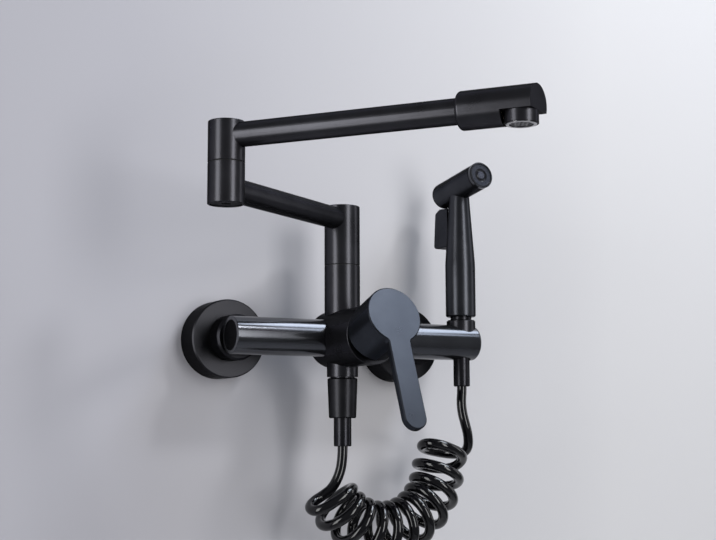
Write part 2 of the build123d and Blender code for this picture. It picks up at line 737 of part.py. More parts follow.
def nozzle():
    """Turns on the arm's end. In its own frame X runs along the arm and Z is up."""
    barrel = Plane.YZ * Pos(0, 0, NOZZLE_START) * Cylinder(
        NOZZLE_R, NOZZLE_TIP + 4 - NOZZLE_START, align=(Align.CENTER, Align.CENTER, Align.MIN)
    )
    back = barrel.edges().filter_by(GeomType.CIRCLE).sort_by(Axis.X)[0]
    barrel = fillet(back, NOZZLE_FILLET)
    far = 2 * NOZZLE_R
    roof_cut = block((NOZZLE_STEP, -far, -far), (NOZZLE_TIP + far, far, -NOZZLE_FLAT))
    barrel -= roof_cut
    slant = Pos(NOZZLE_TIP, 0, 0) * Rot(0, 0, -NOZZLE_SLANT) * block((0, -far, -far), (far, far, far))
    barrel -= slant
    outlet = Pos(OUTLET_AT, 0, -OUTLET_DROP) * Cylinder(
        OUTLET_R, OUTLET_DROP, align=(Align.CENTER, Align.CENTER, Align.MIN)
    )
    shape = barrel + outlet
    bore = Plane.YZ * Pos(0, 0, NOZZLE_START - 1) * Cylinder(
        ARM_R + RUN, NOZZLE_BORE_END + 1 - NOZZLE_START, align=(Align.CENTER, Align.CENTER, Align.MIN)
    )
    way = Plane.YZ * Pos(0, 0, NOZZLE_BORE_END) * Cylinder(
        5.0, OUTLET_AT - NOZZLE_BORE_END, align=(Align.CENTER, Align.CENTER, Align.MIN)
    )
    mouth = Pos(OUTLET_AT, 0, -OUTLET_DROP - 1) * Cylinder(
        OUTLET_BORE_R, OUTLET_DROP - 2.6 + 1, align=(Align.CENTER, Align.CENTER, Align.MIN)
    )
    throat = Pos(OUTLET_AT, 0, -3) * Cylinder(5.0, 6, align=(Align.CENTER, Align.CENTER, Align.CENTER))
    shape = NOZZLE_PLACE * (shape - bore - way - mouth - throat)
    start, screw_way = nozzle_screw_place()
    return shape - rod(SCREW_R + SEAT, start - screw_way * 5, start + screw_way * 6)


AERATOR_TOP = -2.6 - 1.4  # under the rubber ring
AERATOR_AXIS = HIGH_START + HIGH_WAY * OUTLET_AT


def aerator_seal():
    top = AERATOR_AXIS + UP * (-2.6 - SEAT)
    return pipe(OUTLET_BORE_R - SEAT, 5.2, AERATOR_AXIS + UP * AERATOR_TOP, top)


def aerator_shell():
    foot = -OUTLET_DROP - AERATOR_PROUD
    wall = OUTLET_BORE_R - SEAT - AERATOR_SHELL_WALL
    return turned(
        [
            (wall - 0.8, foot),
            (OUTLET_BORE_R - SEAT, foot, 0.4),
            (OUTLET_BORE_R - SEAT, AERATOR_TOP),
            (wall, AERATOR_TOP),
            (wall, foot + 0.8),
            (wall - 0.8, foot + 0.8),
        ],
        AERATOR_AXIS,
    )


def aerator_insert():
    """Moulded core with a ring of straight water ways."""
    foot = -OUTLET_DROP - AERATOR_PROUD + 0.8
    radius = OUTLET_BORE_R - SEAT - AERATOR_SHELL_WALL - SEAT
    core = rod(radius, AERATOR_AXIS + UP * foot, AERATOR_AXIS + UP * AERATOR_TOP)
    for count, circle in ((1, 0.0), (6, 2.6), (12, 5.2)):
        for k in range(count):
            turn = 2 * pi * k / count
            spot = AERATOR_AXIS + Vector(circle * cos(turn), circle * sin(turn), 0)
            core -= rod(0.85, spot + UP * (foot - 1), spot + UP * (AERATOR_TOP + 1))
    return core


# --- cartridge ----------------------------------------------------------------------------
def out_at(distance):
    return Vector(0, -distance, 0)


SHELL_BACK = CARTRIDGE_FLOOR_OUT + BASE_SEAL_T
CAVITY_BACK = SHELL_BACK + CARTRIDGE_FLOOR_T
SLIDE_BACK = CAVITY_BACK + DISC_T + FACE
ROTOR_BACK = SLIDE_BACK + SLIDE_DISC_T + FACE
CAVITY_FRONT = ROTOR_BACK + ROTOR_FLANGE_T + RUN
CAVITY_R = CARTRIDGE_R - CARTRIDGE_WALL
PORTS = [Vector(-PORT_X, 0, -PORT_Z), Vector(PORT_X, 0, -PORT_Z), Vector(0, 0, PORT_Z + 1.5)]


def with_ports(shape, start, end, radius):
    for port in PORTS:
        shape -= rod(radius, port + out_at(start - 1), port + out_at(end + 1))
    return shape


def cartridge_shell():
    shell = turned(
        [
            (0, SHELL_BACK),
            (CARTRIDGE_R, SHELL_BACK),
            (CARTRIDGE_R, SHOULDER_OUT),
            (COLLAR_R, SHOULDER_OUT),
            (COLLAR_R, COLLAR_END_OUT),
            (ROTOR_R + RUN, COLLAR_END_OUT),
            (ROTOR_R + RUN, CAVITY_FRONT),
            (CAVITY_R, CAVITY_FRONT),
            (CAVITY_R, CAVITY_BACK),
            (0, CAVITY_BACK),
        ],
        Vector(0, 0, 0),
        OUT,
    )
    return with_ports(shell, SHELL_BACK, CAVITY_BACK, PORT_R / 1.6)


def cartridge_seals():
    """Rubber rings between the cartridge's base and the body, one for each water way."""
    rings = [
        pipe(PORT_R + 1.0, PORT_R / 1.6 + 0.3, port + out_at(CARTRIDGE_FLOOR_OUT), port + out_at(SHELL_BACK))
        for port in PORTS
    ]
    return Compound(children=rings)


def fixed_disc():
    disc = rod(CAVITY_R - SEAT, out_at(CAVITY_BACK), out_at(CAVITY_BACK + DISC_T))
    return with_ports(disc, CAVITY_BACK, CAVITY_BACK + DISC_T, PORT_R / 1.6)


def slide_disc():
    """Ceramic disc that the handle's tail pushes up and down; shown with the tap open."""
    drop = Vector(0, 0, -SLIDE_TRAVEL)
    disc = rod(SLIDE_DISC_R, drop + out_at(SLIDE_BACK), drop + out_at(SLIDE_BACK + SLIDE_DISC_T))
    half_x, half_z = STEM_TAIL_R + RUN, STEM_TAIL_R + 1.0
    front = SLIDE_BACK + SLIDE_DISC_T
    pocket = block((-half_x, -front - 1, -half_z), (half_x, -front + 4.6, half_z))
    return disc - Pos(*drop) * pocket


def rotor():
    """Carries the stem's pin; turns with the handle to set the temperature."""
    body = turned(
        [
            (0, ROTOR_BACK),
            (ROTOR_FLANGE_R, ROTOR_BACK),
            (ROTOR_FLANGE_R, ROTOR_BACK + ROTOR_FLANGE_T),
            (ROTOR_R, ROTOR_BACK + ROTOR_FLANGE_T),
            (ROTOR_R, COLLAR_END_OUT, 0.4),
            (0, COLLAR_END_OUT),
        ],
        Vector(0, 0, 0),
        OUT,
    )
    half = STEM_WIDTH / 2 + RUN
    body -= block((-half, -COLLAR_END_OUT - 1, -SLOT_HALF), (half, -ROTOR_BACK + 1, SLOT_HALF))
    reach = ROTOR_R - 0.6
    return body - rod(PIN_R + SEAT, PIVOT - RIGHT * reach, PIVOT + RIGHT * reach)


def stem_pin():
    reach = ROTOR_R - 0.6 - SEAT
    return rod(PIN_R, PIVOT - RIGHT * reach, PIVOT + RIGHT * reach)


def stem():
    half = STEM_WIDTH / 2
    hub = block((-half, -PIVOT_OUT - STEM_NOSE, -half), (half, -PIVOT_OUT + half, half))
    tail = rod(STEM_TAIL_R, PIVOT, out_at(PIVOT_OUT - STEM_TAIL))
    shape = hub + tail - rod(PIN_R + RUN, PIVOT - RIGHT * 9, PIVOT + RIGHT * 9)
    return tilted(shape, HANDLE_LIFT)


def lock_nut():
    """Threaded ring that clamps the cartridge, with two spanner slots."""
    nut = pipe(LOCK_NUT_R, COLLAR_R + SEAT, out_at(SHOULDER_OUT), out_at(SHOULDER_OUT + LOCK_NUT_T))
    front = -(SHOULDER_OUT + LOCK_NUT_T)
    return nut - block((-LOCK_NUT_R - 1, front - 1, -1.5), (LOCK_NUT_R + 1, front + 1.6, 1.5))


def dome():
    """Domed cover ring over the cartridge, under the handle."""
    start = SHOULDER_OUT + LOCK_NUT_T + SEAT
    end = BODY_RIM_OUT - 0.1
    ring_part = pipe(LOCK_NUT_R, DOME_R - DOME_WALL, out_at(start), out_at(end))
    ball = Pos(*PIVOT) * (Sphere(DOME_R) - Sphere(DOME_R - DOME_WALL))
    front = PIVOT_OUT + DOME_OPENING
    wide = DOME_R + EDGE
    zone = block((-wide, -front, -wide), (wide, -end + 0.01, wide))
    return ring_part + (ball & zone)


# --- handle -------------------------------------------------------------------------------
def handle():
    face = PIVOT_OUT + HANDLE_FACE
    skirt = rod(HANDLE_R, out_at(PIVOT_OUT + HANDLE_RIM), out_at(face))
    disc = Circle(HANDLE_R)
    blade = Pos(0, -(LEVER_LENGTH - LEVER_WIDTH / 2) / 2) * Rectangle(
        LEVER_WIDTH, LEVER_LENGTH - LEVER_WIDTH / 2
    )
    tip = Pos(0, -(LEVER_LENGTH - LEVER_WIDTH / 2)) * Circle(LEVER_WIDTH / 2)
    outline = disc + blade + tip
    neck_z = -sqrt(HANDLE_R**2 - (LEVER_WIDTH / 2) ** 2)
    necks = [
        v for v in outline.vertices() if abs(v.Y - neck_z) < 0.1 and abs(abs(v.X) - LEVER_WIDTH / 2) < 0.1
    ]
    outline = fillet(necks, LEVER_NECK_FILLET)
    sheet = Plane(origin=out_at(face - LEVER_T), x_dir=(1, 0, 0), z_dir=(0, -1, 0)) * outline
    plate = extrude(sheet, LEVER_T)
    front_edges = plate.faces().sort_by(Axis.Y)[0].edges()
    plate = chamfer(front_edges, LEVER_EDGE)
    low_front = rod(HANDLE_R, out_at(PIVOT_OUT + HANDLE_RIM), out_at(face - LEVER_T))
    shape = low_front + plate
    inner = HANDLE_R - HANDLE_WALL
    cavity_end = face - HANDLE_CAP_T
    shape -= rod(inner, out_at(PIVOT_OUT - 10), out_at(cavity_end))
    shape += rod(HANDLE_BOSS_R, out_at(PIVOT_OUT + HANDLE_BOSS_START), out_at(cavity_end))
    half = STEM_WIDTH / 2 + SEAT
    socket_end = -(PIVOT_OUT + STEM_NOSE + SEAT)
    shape -= block((-half, socket_end, -half), (half, -PIVOT_OUT, half))
    screw_at = handle_screw_start()
    shape -= rod(SCREW_R + SEAT, screw_at - UP * HANDLE_HOLE_DOWN, screw_at + UP * HANDLE_HOLE_UP)
    open_shape = tilted(shape, HANDLE_LIFT)
    relief = RIM_Y - HANDLE_RELIEF
    far = 3 * HANDLE_R
    return open_shape - block((-far, relief, -far), (far, relief + far, far))


HANDLE_SCREW_OUT = 20.6  # along the handle's axis from the pivot
HANDLE_HOLE_DOWN = 12.0  # screw's hole, below and above the screw's foot
HANDLE_HOLE_UP = 14.5


def handle_screw_start():
    return PIVOT + OUT * HANDLE_SCREW_OUT - UP * (HANDLE_BOSS_R - 0.2)


def handle_screw():
    """Grub screw that locks the handle to the stem, reached from under the skirt."""
    length = HANDLE_BOSS_R - 0.2 - STEM_WIDTH / 2 - SEAT
    return tilted(screw(SCREW_R, SCREW_R * 0.7, length, 0.8, handle_screw_start(), UP), HANDLE_LIFT)


# --- sprayer holder -----------------------------------------------------------------------
def holder_ring():
    cup = turned(
        [
            (LINER_R + SEAT, 0),
            (HOLDER_R, 0),
            (HOLDER_R, HOLDER_TOP_Z - 0.9),
            (HOLDER_R - 0.9, HOLDER_TOP_Z),
            (LINER_R + SEAT, HOLDER_TOP_Z),
        ],
        HOLDER,
    )
    bar = rod(BAR_R, Vector(0, AXIS_Y, 0), Vector(BAR_RIGHT_X + 20, AXIS_Y, 0))
    return cup - bar


def holder_liner():
    return turned(
        [
            (TAIL_FOOT_R + TAIL_GAP, LINER_FOOT_Z),
            (LINER_R, LINER_FOOT_Z),
            (LINER_R, HOLDER_TOP_Z - 0.3),
            (TAIL_TOP_R + TAIL_GAP, HOLDER_TOP_Z - 0.3),
        ],
        HOLDER,
    )


# --- sprayer ------------------------------------------------------------------------------
HEAD_WAY = Vector(0, -cos(radians(HEAD_TILT)), sin(radians(HEAD_TILT)))
HEAD_MIDDLE = HOLDER + UP * HEAD_Z


def head_core(extra=0.0):
    return rod(HEAD_R + extra, HEAD_MIDDLE - HEAD_WAY * HEAD_BACK, HEAD_MIDDLE + HEAD_WAY * HEAD_FRONT)


def sprayer_grip():
    top = HEAD_Z + 2
    slope = (GRIP_R - NECK_R) / (NECK_Z - GRIP_TOP_Z)
    grip = turned(
        [
            (TAIL_TOP_R - 1.0, SPRAYER_FOOT_Z),
            (GRIP_R - 0.8, SPRAYER_FOOT_Z),
            (GRIP_R, SPRAYER_FOOT_Z + 0.8),
            (GRIP_R, GRIP_TOP_Z, 60.0),
            (NECK_R - slope * (top - NECK_Z), top),
            (NECK_R - slope * (top - NECK_Z) - GRIP_WALL, top),
            (GRIP_R - GRIP_WALL - 0.4, GRIP_TOP_Z),
            (GRIP_R - GRIP_WALL - 0.4, SPRAYER_FOOT_Z + 4),
            (TAIL_TOP_R - 1.0, SPRAYER_FOOT_Z + 4),
        ],
        HOLDER,
    )
    grip -= head_core()
    half = TRIGGER_HALF + TRIGGER_SIDE_GAP
    slot = TRIGGER_TONGUE_HALF + TRIGGER_SIDE_GAP
    top = TRIGGER_TONGUE_Z + 0.5
    far = 2 * GRIP_R
    pocket = block((-half, POCKET_OUT, TRIGGER_BOTTOM_Z - 3), (half, far, top))
    tongue_room = block((-slot, POCKET_OUT - 0.4, top - 1), (slot, far, TRIGGER_TOP_Z + 1.5))
    pin = trigger_pin_centre()
    grip -= Pos(*HOLDER) * (pocket + tongue_room)
    return grip - rod(TRIGGER_PIN_R + SEAT, pin - RIGHT * far, pin + RIGHT * far)


def sprayer_tail():
    """Brass cone that stands in the holder; the hose screws on below, the grip above."""
    return turned(
        [
            (3.4, LINER_FOOT_Z),
            (TAIL_FOOT_R, LINER_FOOT_Z),
            (TAIL_TOP_R, HOLDER_TOP_Z),
            (TAIL_TOP_R, SPRAYER_FOOT_Z),
            (TAIL_TOP_R - 1.0 - SEAT, SPRAYER_FOOT_Z),
            (TAIL_TOP_R - 1.0 - SEAT, SPRAYER_FOOT_Z + TAIL_SCREWED),
            (3.4, SPRAYER_FOOT_Z + TAIL_SCREWED),
        ],
        HOLDER,
    )


def head_turned(outline):
    return turned(outline, HEAD_MIDDLE, HEAD_WAY)


def sprayer_head():
    front = HEAD_FRONT - FACE_RING_T - FACE_GROOVE
    head = head_turned(
        [
            (0, -HEAD_BACK),
            (HEAD_R, -HEAD_BACK, HEAD_FILLET),
            (HEAD_R, front),
            (HEAD_R - 1.0, front),
            (HEAD_R - 1.0, front + FACE_GROOVE),
            (4.0, front + FACE_GROOVE),
            (4.0, 0),
            (0, 0),
        ]
    )
    return head - rod(2.6, HEAD_MIDDLE, HEAD_MIDDLE - UP * 2 * HEAD_R)


def face_ring():
    start = HEAD_FRONT - FACE_RING_T
    inner = HEAD_R - FACE_RING_WALL
    return head_turned(
        [
            (inner, start),
            (HEAD_R, start),
            (HEAD_R, HEAD_FRONT - 0.7),
            (HEAD_R - 0.7, HEAD_FRONT),
            (inner, HEAD_FRONT),
        ]
    )


def spray_plate():
    """Rubber-tipped spray plate: a raised middle and two rings of small nozzles."""
    start = HEAD_FRONT - FACE_RING_T
    rim = HEAD_R - FACE_RING_WALL - SEAT
    plate = head_turned(
        [
            (0, start),
            (rim, start),
            (rim, start + PLATE_T),
            (5.2, start + PLATE_T),
            (4.6, start + PLATE_T - 0.7),
            (3.4, start + PLATE_T - 0.7),
            (2.8, start + PLATE_T + 0.3),
            (0, start + PLATE_T + 0.3),
        ]
    )
    base = Plane(origin=HEAD_MIDDLE, x_dir=(1, 0, 0), z_dir=HEAD_WAY)
    for count, circle in ((12, 6.9), (6, 1.7)):
        for k in range(count):
            turn = 2 * pi * k / count
            plate -= base * Pos(circle * cos(turn), circle * sin(turn), start) * Cylinder(
                0.35, 8, align=(Align.CENTER, Align.CENTER, Align.CENTER)
            )
    return plate


def trigger_pin_centre():
    return HOLDER + Vector(0, TRIGGER_PIN_OUT, TRIGGER_PIN_Z)


def trigger_pin():
    centre = trigger_pin_centre()
    return rod(TRIGGER_PIN_R, centre - RIGHT * TRIGGER_PIN_HALF, centre + RIGHT * TRIGGER_PIN_HALF)


def trigger():
    """Squeeze lever behind the grip. Its side view is drawn as (behind the axis, height)."""
    front = TRIGGER_TONGUE_OUT - 0.2
    back = TRIGGER_DEPTH
    side_view = [
        (front, TRIGGER_BOTTOM_Z),
        (back + TRIGGER_FLARE, TRIGGER_BOTTOM_Z),
        (back - 0.5, TRIGGER_PIN_Z + 1.0),
        (back - TRIGGER_SLOPE, TRIGGER_TOP_Z),
        (TRIGGER_PIN_OUT, TRIGGER_TOP_Z - 1.4),
        (TRIGGER_PIN_OUT - TRIGGER_LUG, TRIGGER_PIN_Z + 1.6),
        (TRIGGER_PIN_OUT - TRIGGER_LUG, TRIGGER_PIN_Z - 1.6),
        (TRIGGER_PIN_OUT + 1.0, TRIGGER_PIN_Z - 3.4),
        (front, TRIGGER_PIN_Z - 6.0),
    ]
    outline = make_face(Plane.YZ * Polyline(*side_view, close=True))
    rounded = [v for v in outline.vertices() if v.Y > back - 12.0]
    outline = fillet(rounded, TRIGGER_CORNER_R)
    lever = extrude(outline, TRIGGER_HALF, both=True)
    edges = [e for e in lever.edges() if e.center().Y > back - 9.0]
    edges = [e for e in edges if abs(abs(e.center().X) - TRIGGER_HALF) < 0.01]
    lever = fillet(edges, 0.9)
    inner = TRIGGER_HALF - TRIGGER_WALL
    depth = back - 2.4 * TRIGGER_WALL
    lever -= block((-inner, 0, TRIGGER_BOTTOM_Z + 2), (inner, depth, TRIGGER_PIN_Z - 7))
    stop = PLUNGER_HEAD_OUT + FACE
    lever += block((-inner, stop, PLUNGER_Z - STOP_HALF), (inner, depth, PLUNGER_Z + STOP_HALF))
    for side in (-1, 1):
        low, high = sorted((side * TRIGGER_TONGUE_HALF, side * 2 * TRIGGER_HALF))
        lever -= block((low, 0, TRIGGER_TONGUE_Z), (high, TRIGGER_TONGUE_OUT, 2 * TRIGGER_TOP_Z))
    lever = Pos(*HOLDER) * lever
    pin = trigger_pin_centre()
    return lever - rod(TRIGGER_PIN_R + RUN, pin - RIGHT * 20, pin + RIGHT * 20)


VALVE_MIDDLE = HOLDER + UP * PLUNGER_Z
PLUNGER_TRAVEL = (TRIGGER_PIN_Z - PLUNGER_Z + STOP_HALF) * sin(radians(TRIGGER_PRESS))


def valve_body():
    """Moulded waterway through the grip, with the valve that carries the plunger."""
    inner = WATERWAY_R - WATERWAY_WALL
    foot = HOLDER + UP * (SPRAYER_FOOT_Z + TAIL_SCREWED + FACE)
    top = HEAD_MIDDLE - UP * (HEAD_R + VALVE_SEAT_R)
    low, high = VALVE_MIDDLE - UP * VALVE_HEIGHT / 2, VALVE_MIDDLE + UP * VALVE_HEIGHT / 2
    web = UP * (PLUNGER_R + VALVE_WEB)
    shape = rod(VALVE_R, low, high) + rod(WATERWAY_R, foot, top)
    shape -= rod(inner, foot, VALVE_MIDDLE - web)
    shape -= rod(inner, VALVE_MIDDLE + web, top)
    shape -= rod(VALVE_SEAT_R, low, high)
    seat = VALVE_R - PLUNGER_TRAVEL - FACE
    shape -= rod(SPRING_R + 2 * SPRING_WIRE_R, VALVE_MIDDLE - OUT * seat, VALVE_MIDDLE - OUT * 20)
    nose = PLUNGER_START + PLUNGER_TRAVEL + FACE
    return shape - rod(PLUNGER_R + RUN, VALVE_MIDDLE - OUT * 20, VALVE_MIDDLE + OUT * nose)


def plunger():
    head = VALVE_MIDDLE - OUT * PLUNGER_HEAD_OUT
    stem_part = rod(PLUNGER_R, VALVE_MIDDLE + OUT * PLUNGER_START, head)
    return stem_part + rod(PLUNGER_HEAD_R, head + OUT * PLUNGER_HEAD_T, head)


def valve_spring():
    """Return spring on the plunger, between the valve body and the plunger's head."""
    start = VALVE_R + SPRING_WIRE_R + 0.05
    length = PLUNGER_HEAD_OUT - PLUNGER_HEAD_T - SPRING_WIRE_R - 0.05 - start
    path = Helix(length / SPRING_TURNS, length, SPRING_R)
    section = Plane(origin=path @ 0, z_dir=path % 0) * Circle(SPRING_WIRE_R)
    spring = sweep(section, path=path)
    return Plane(origin=VALVE_MIDDLE - OUT * start, z_dir=-OUT) * spring


# --- hose fittings ------------------------------------------------------------------------
MALE_FOOT_Z = OUTLET_COLLAR_Z - OUTLET_MALE_LENGTH
NUT_TOP_Z = OUTLET_COLLAR_Z - HOSE_NUT_GROOVE
WASHER_FOOT_Z = MALE_FOOT_Z - HOSE_WASHER_T


def hose_outlet():
    """Threaded nipple under the body, with a collar against the body."""
    nipple = turned(
        [
            (OUTLET_WAY_R, MALE_FOOT_Z),
            (OUTLET_MALE_R, MALE_FOOT_Z),
            (OUTLET_MALE_R, OUTLET_COLLAR_Z),
            (OUTLET_COLLAR_R, OUTLET_COLLAR_Z),
            (OUTLET_COLLAR_R, -SPIGOT_FOOT_Z),
            (OUTLET_WAY_R, -SPIGOT_FOOT_Z),
        ],
        COLUMN,
    )
    neck = pipe(PASSAGE_R - SEAT, OUTLET_WAY_R, COLUMN - UP * SPIGOT_FOOT_Z, COLUMN - UP * BODY_R)
    return nipple - body_core() + neck


def check_valve():
    """Stops water running back from the hose: its shell, its poppet and its flat washer."""
    top = OUTLET_COLLAR_Z + 6
    valve = turned(
        [
            (2.2, MALE_FOOT_Z),
            (OUTLET_WAY_R - SEAT, MALE_FOOT_Z),
            (OUTLET_WAY_R - SEAT, top),
            (3.6, top),
            (3.6, MALE_FOOT_Z + 3),
            (2.2, MALE_FOOT_Z + 2),
        ],
        COLUMN,
    )
    poppet = turned(
        [(0, MALE_FOOT_Z + 3.1), (3.2, MALE_FOOT_Z + 3.1), (3.2, MALE_FOOT_Z + 4.6), (0, MALE_FOOT_Z + 6.0)],
        COLUMN,
    )
    washer = pipe(OUTLET_MALE_R - SEAT, 3.0, COLUMN + UP * WASHER_FOOT_Z, COLUMN + UP * MALE_FOOT_Z)
    return Compound(children=[valve, poppet, washer])


def hose_nut():
    inner = OUTLET_MALE_R + SEAT
    neck = FERRULE_NECK_R + SEAT
    return turned(
        [
            (neck, HOSE_NUT_FOOT_Z),
            (HOSE_NUT_FOOT_R - 0.7, HOSE_NUT_FOOT_Z),
            (HOSE_NUT_FOOT_R, HOSE_NUT_FOOT_Z + 0.7),
            (HOSE_NUT_TOP_R, NUT_TOP_Z - 1.0),
            (HOSE_NUT_TOP_R - 0.8, NUT_TOP_Z),
            (inner, NUT_TOP_Z),
            (inner, WASHER_FOOT_Z - 1.5),
            (neck, WASHER_FOOT_Z - 1.5),
        ],
        COLUMN,
    )


HOSE_DEPTH = 16.0  # hose inside its ferrule


def crimped(ferrule, centre, foot):
    """A ferrule with the hose's end held in it."""
    base = centre + UP * foot
    hose_end = pipe(HOSE_R, HOSE_BORE_R, base, base + UP * (HOSE_DEPTH - SEAT))
    return Compound(children=[ferrule, hose_end])


def hose_ferrule():
    bore = HOSE_R + SEAT
    ferrule = turned(
        [
            (bore, FERRULE_FOOT_Z),
            (FERRULE_R - 0.5, FERRULE_FOOT_Z),
            (FERRULE_R, FERRULE_FOOT_Z + 0.5),
            (FERRULE_R, HOSE_NUT_FOOT_Z),
            (FERRULE_NECK_R, HOSE_NUT_FOOT_Z),
            (FERRULE_NECK_R, WASHER_FOOT_Z - 1.5),
            (OUTLET_MALE_R - 0.1, WASHER_FOOT_Z - 1.5),
            (OUTLET_MALE_R - 0.1, WASHER_FOOT_Z),
            (FITTING_BORE_R, WASHER_FOOT_Z),
            (FITTING_BORE_R, FERRULE_FOOT_Z + HOSE_DEPTH),
            (bore, FERRULE_FOOT_Z + HOSE_DEPTH),
        ],
        COLUMN,
    )
    return crimped(ferrule, COLUMN, FERRULE_FOOT_Z)


def hose_connector():
    """Slim swivel connector on the hose's other end; it passes down through the holder."""
    bore = HOSE_R + SEAT
    top = LINER_FOOT_Z
    connector = turned(
        [
            (bore, CONNECTOR_FOOT_Z),
            (CONNECTOR_R - 0.6, CONNECTOR_FOOT_Z),
            (CONNECTOR_R, CONNECTOR_FOOT_Z + 0.6),
            (CONNECTOR_R, top),
            (FITTING_BORE_R, top),
            (FITTING_BORE_R, CONNECTOR_FOOT_Z + HOSE_DEPTH),
            (bore, CONNECTOR_FOOT_Z + HOSE_DEPTH),
        ],
        HOLDER,
    )
    return crimped(connector, HOLDER, CONNECTOR_FOOT_Z)


# --- hose ---------------------------------------------------------------------------------
BODY_TAIL = [
    (0.0, AXIS_Y, FERRULE_FOOT_Z),
    (0.0, AXIS_Y, FERRULE_FOOT_Z - 7.9),
    (-2.2, AXIS_Y, -97.0),
]
SPRAYER_TAIL = [
    (HOLDER_X, AXIS_Y, CONNECTOR_FOOT_Z),
    (HOLDER_X, AXIS_Y, CONNECTOR_FOOT_Z - 4.2),
    (102.6, -56.0, -45.0),
    (103.0, -56.8, -53.5),
    (105.2, -57.2, -61.5),
    (108.0, -56.8, -70.0),
]
FIRST_CURL = [  # the loose curl at the body's side, from its tail to the even curls
    (-7.6, -53.9, -107.4),
    (-14.0, -51.2, -112.4),
    (-21.6, -51.0, -116.4),
    (-27.9, -56.6, -120.2),
    (-28.5, -65.5, -122.4),
    (-23.6, -72.2, -120.4),
]
LAST_CURL = [  # the loose curl at the sprayer's side, from the even curls to its tail
    (99.6, -52.2, -93.6),
    (101.2, -59.8, -88.4),
    (95.0, -66.4, -83.6),
    (84.6, -70.0, -80.0),
    (74.0, -69.2, -76.6),
    (67.4, -62.0, -75.5),
    (68.3, -52.0, -77.6),
    (76.8, -43.0, -80.6),
    (89.8, -38.8, -82.8),
    (102.5, -40.6, -84.8),
    (109.4, -46.6, -84.4),
    (110.4, -53.6, -79.8),
]
BEND_LENGTH = radians(BEND_END - BEND_START) * BEND_R


def axis_at(run):
    """Point and way of the coil's own axis: a bend, then a straight rise, in a leaning plane."""
    turn = radians(BEND_START) + min(run, BEND_LENGTH) / BEND_R
    rise = max(run - BEND_LENGTH, 0.0)
    x = BEND_X + BEND_R * cos(turn) - rise * sin(turn)
    z = BEND_Z + BEND_R * sin(turn) + rise * cos(turn)
    drop = z - COIL_LEAN_Z
    way_x, way_z = -sin(turn), cos(turn)
    point = Vector(x + COIL_LEAN_X * drop, AXIS_Y + COIL_LEAN_Y * drop, z)
    way = Vector(way_x + COIL_LEAN_X * way_z, COIL_LEAN_Y * way_z, way_z)
    return point, way.normalized()


def curl_point(turn):
    """Centre of the hose at a turn of the coil: outer side, front, inner side, back."""
    centre, along = axis_at((turn - CURL_START) * CURL_PITCH)
    outer = Vector(along.Z, 0, -along.X).normalized()
    side = outer.cross(along)
    angle = 2 * pi * turn
    return centre + outer * (CURL_R * cos(angle)) + side * (CURL_R * sin(angle))


def curl_way(turn):
    small = 0.001
    return (curl_point(turn + small) - curl_point(turn - small)).normalized()


def loose_ways(points):
    """Way through each point but the first and last, leaning towards the nearer neighbour."""
    ways = []
    for a, b, c in zip(points, points[1:], points[2:]):
        before, after = b - a, c - b
        ways.append((before / before.length**2 + after / after.length**2).normalized())
    return ways


def biarc(start, start_way, end, end_way):
    """Two arcs that leave and arrive along the given ways, as (start, way, end) triples."""
    across = end - start
    both = start_way + end_way
    a = 2 * (1 - start_way.dot(end_way))
    b = 2 * across.dot(both)
    c = -across.dot(across)
    reach = -c / b if abs(a) < 1e-9 else (-b + sqrt(b * b - 4 * a * c)) / (2 * a)
    joint = (start + start_way * reach + end - end_way * reach) * 0.5
    joint_way = ((end - end_way * reach) - (start + start_way * reach)).normalized()
    return [(start, start_way, joint), (joint, joint_way, end)]


def arc_radius(start, way, end):
    chord = end - start
    sine = sin(acos(max(-1.0, min(1.0, way.dot(chord.normalized())))))
    return chord.length / (2 * sine) if sine > 1e-6 else 1e6


def coil_stations():
    """Points and ways that the coil's arcs run through, with a straight end at both sides."""
    body_end, body_before = Vector(*BODY_TAIL[-1]), Vector(*BODY_TAIL[-2])
    body_way = (body_end - body_before).normalized()
    sprayer_end, sprayer_before = Vector(*SPRAYER_TAIL[-1]), Vector(*SPRAYER_TAIL[-2])
    sprayer_way = (sprayer_before - sprayer_end).normalized()
    count = round((EVEN_END - EVEN_START) * CURL_STEPS)
    turns = [EVEN_START + (EVEN_END - EVEN_START) * k / count for k in range(count + 1)]
    even = [curl_point(t) for t in turns]
    first = [body_end + body_way * TAIL_JOIN] + [Vector(*p) for p in FIRST_CURL]
    last = [Vector(*p) for p in LAST_CURL] + [sprayer_end - sprayer_way * TAIL_JOIN]
    points = first + even + last
    ways = [body_way] + loose_ways(points) + [sprayer_way]
    ways[len(first) : len(first) + len(even)] = [curl_way(t) for t in turns]
    return body_end, list(zip(points, ways)), sprayer_end


def hose_coil():
    """The curly part of the hose: one unbroken tube."""
    start, stations, end = coil_stations()
    edges = [Line(start, stations[0][0])]
    least_radius = 1e6
    for (a, a_way), (b, b_way) in zip(stations, stations[1:]):
        for p, way, q in biarc(a, a_way, b, b_way):
            least_radius = min(least_radius, arc_radius(p, way, q))
            edges.append(Edge.make_tangent_arc(p, way, q))
    edges.append(Line(stations[-1][0], end))
    wire = Wire(edges)
    section = Plane(origin=start, z_dir=stations[0][1]) * Circle(HOSE_R)
    coil = sweep(section, path=wire)
    report_gap(wire)
    print(f"coil: {wire.length:.1f} mm of hose, tightest bend {least_radius:.1f} mm")
    return coil


def report_gap(wire):
    """Print the least gap between the tube and itself, measured on points of its centreline."""
    step = 1.0
    count = ceil(wire.length / step)
    points = [wire.position_at(k / count) for k in range(count + 1)]
    skip = ceil(6 * HOSE_R / step)  # neighbours along the hose
    least = min(
        (points[i] - points[j]).length
        for i in range(len(points))
        for j in range(i + skip, len(points))
    )
    print(f"coil: least gap to itself {least - 2 * HOSE_R:.2f} mm")


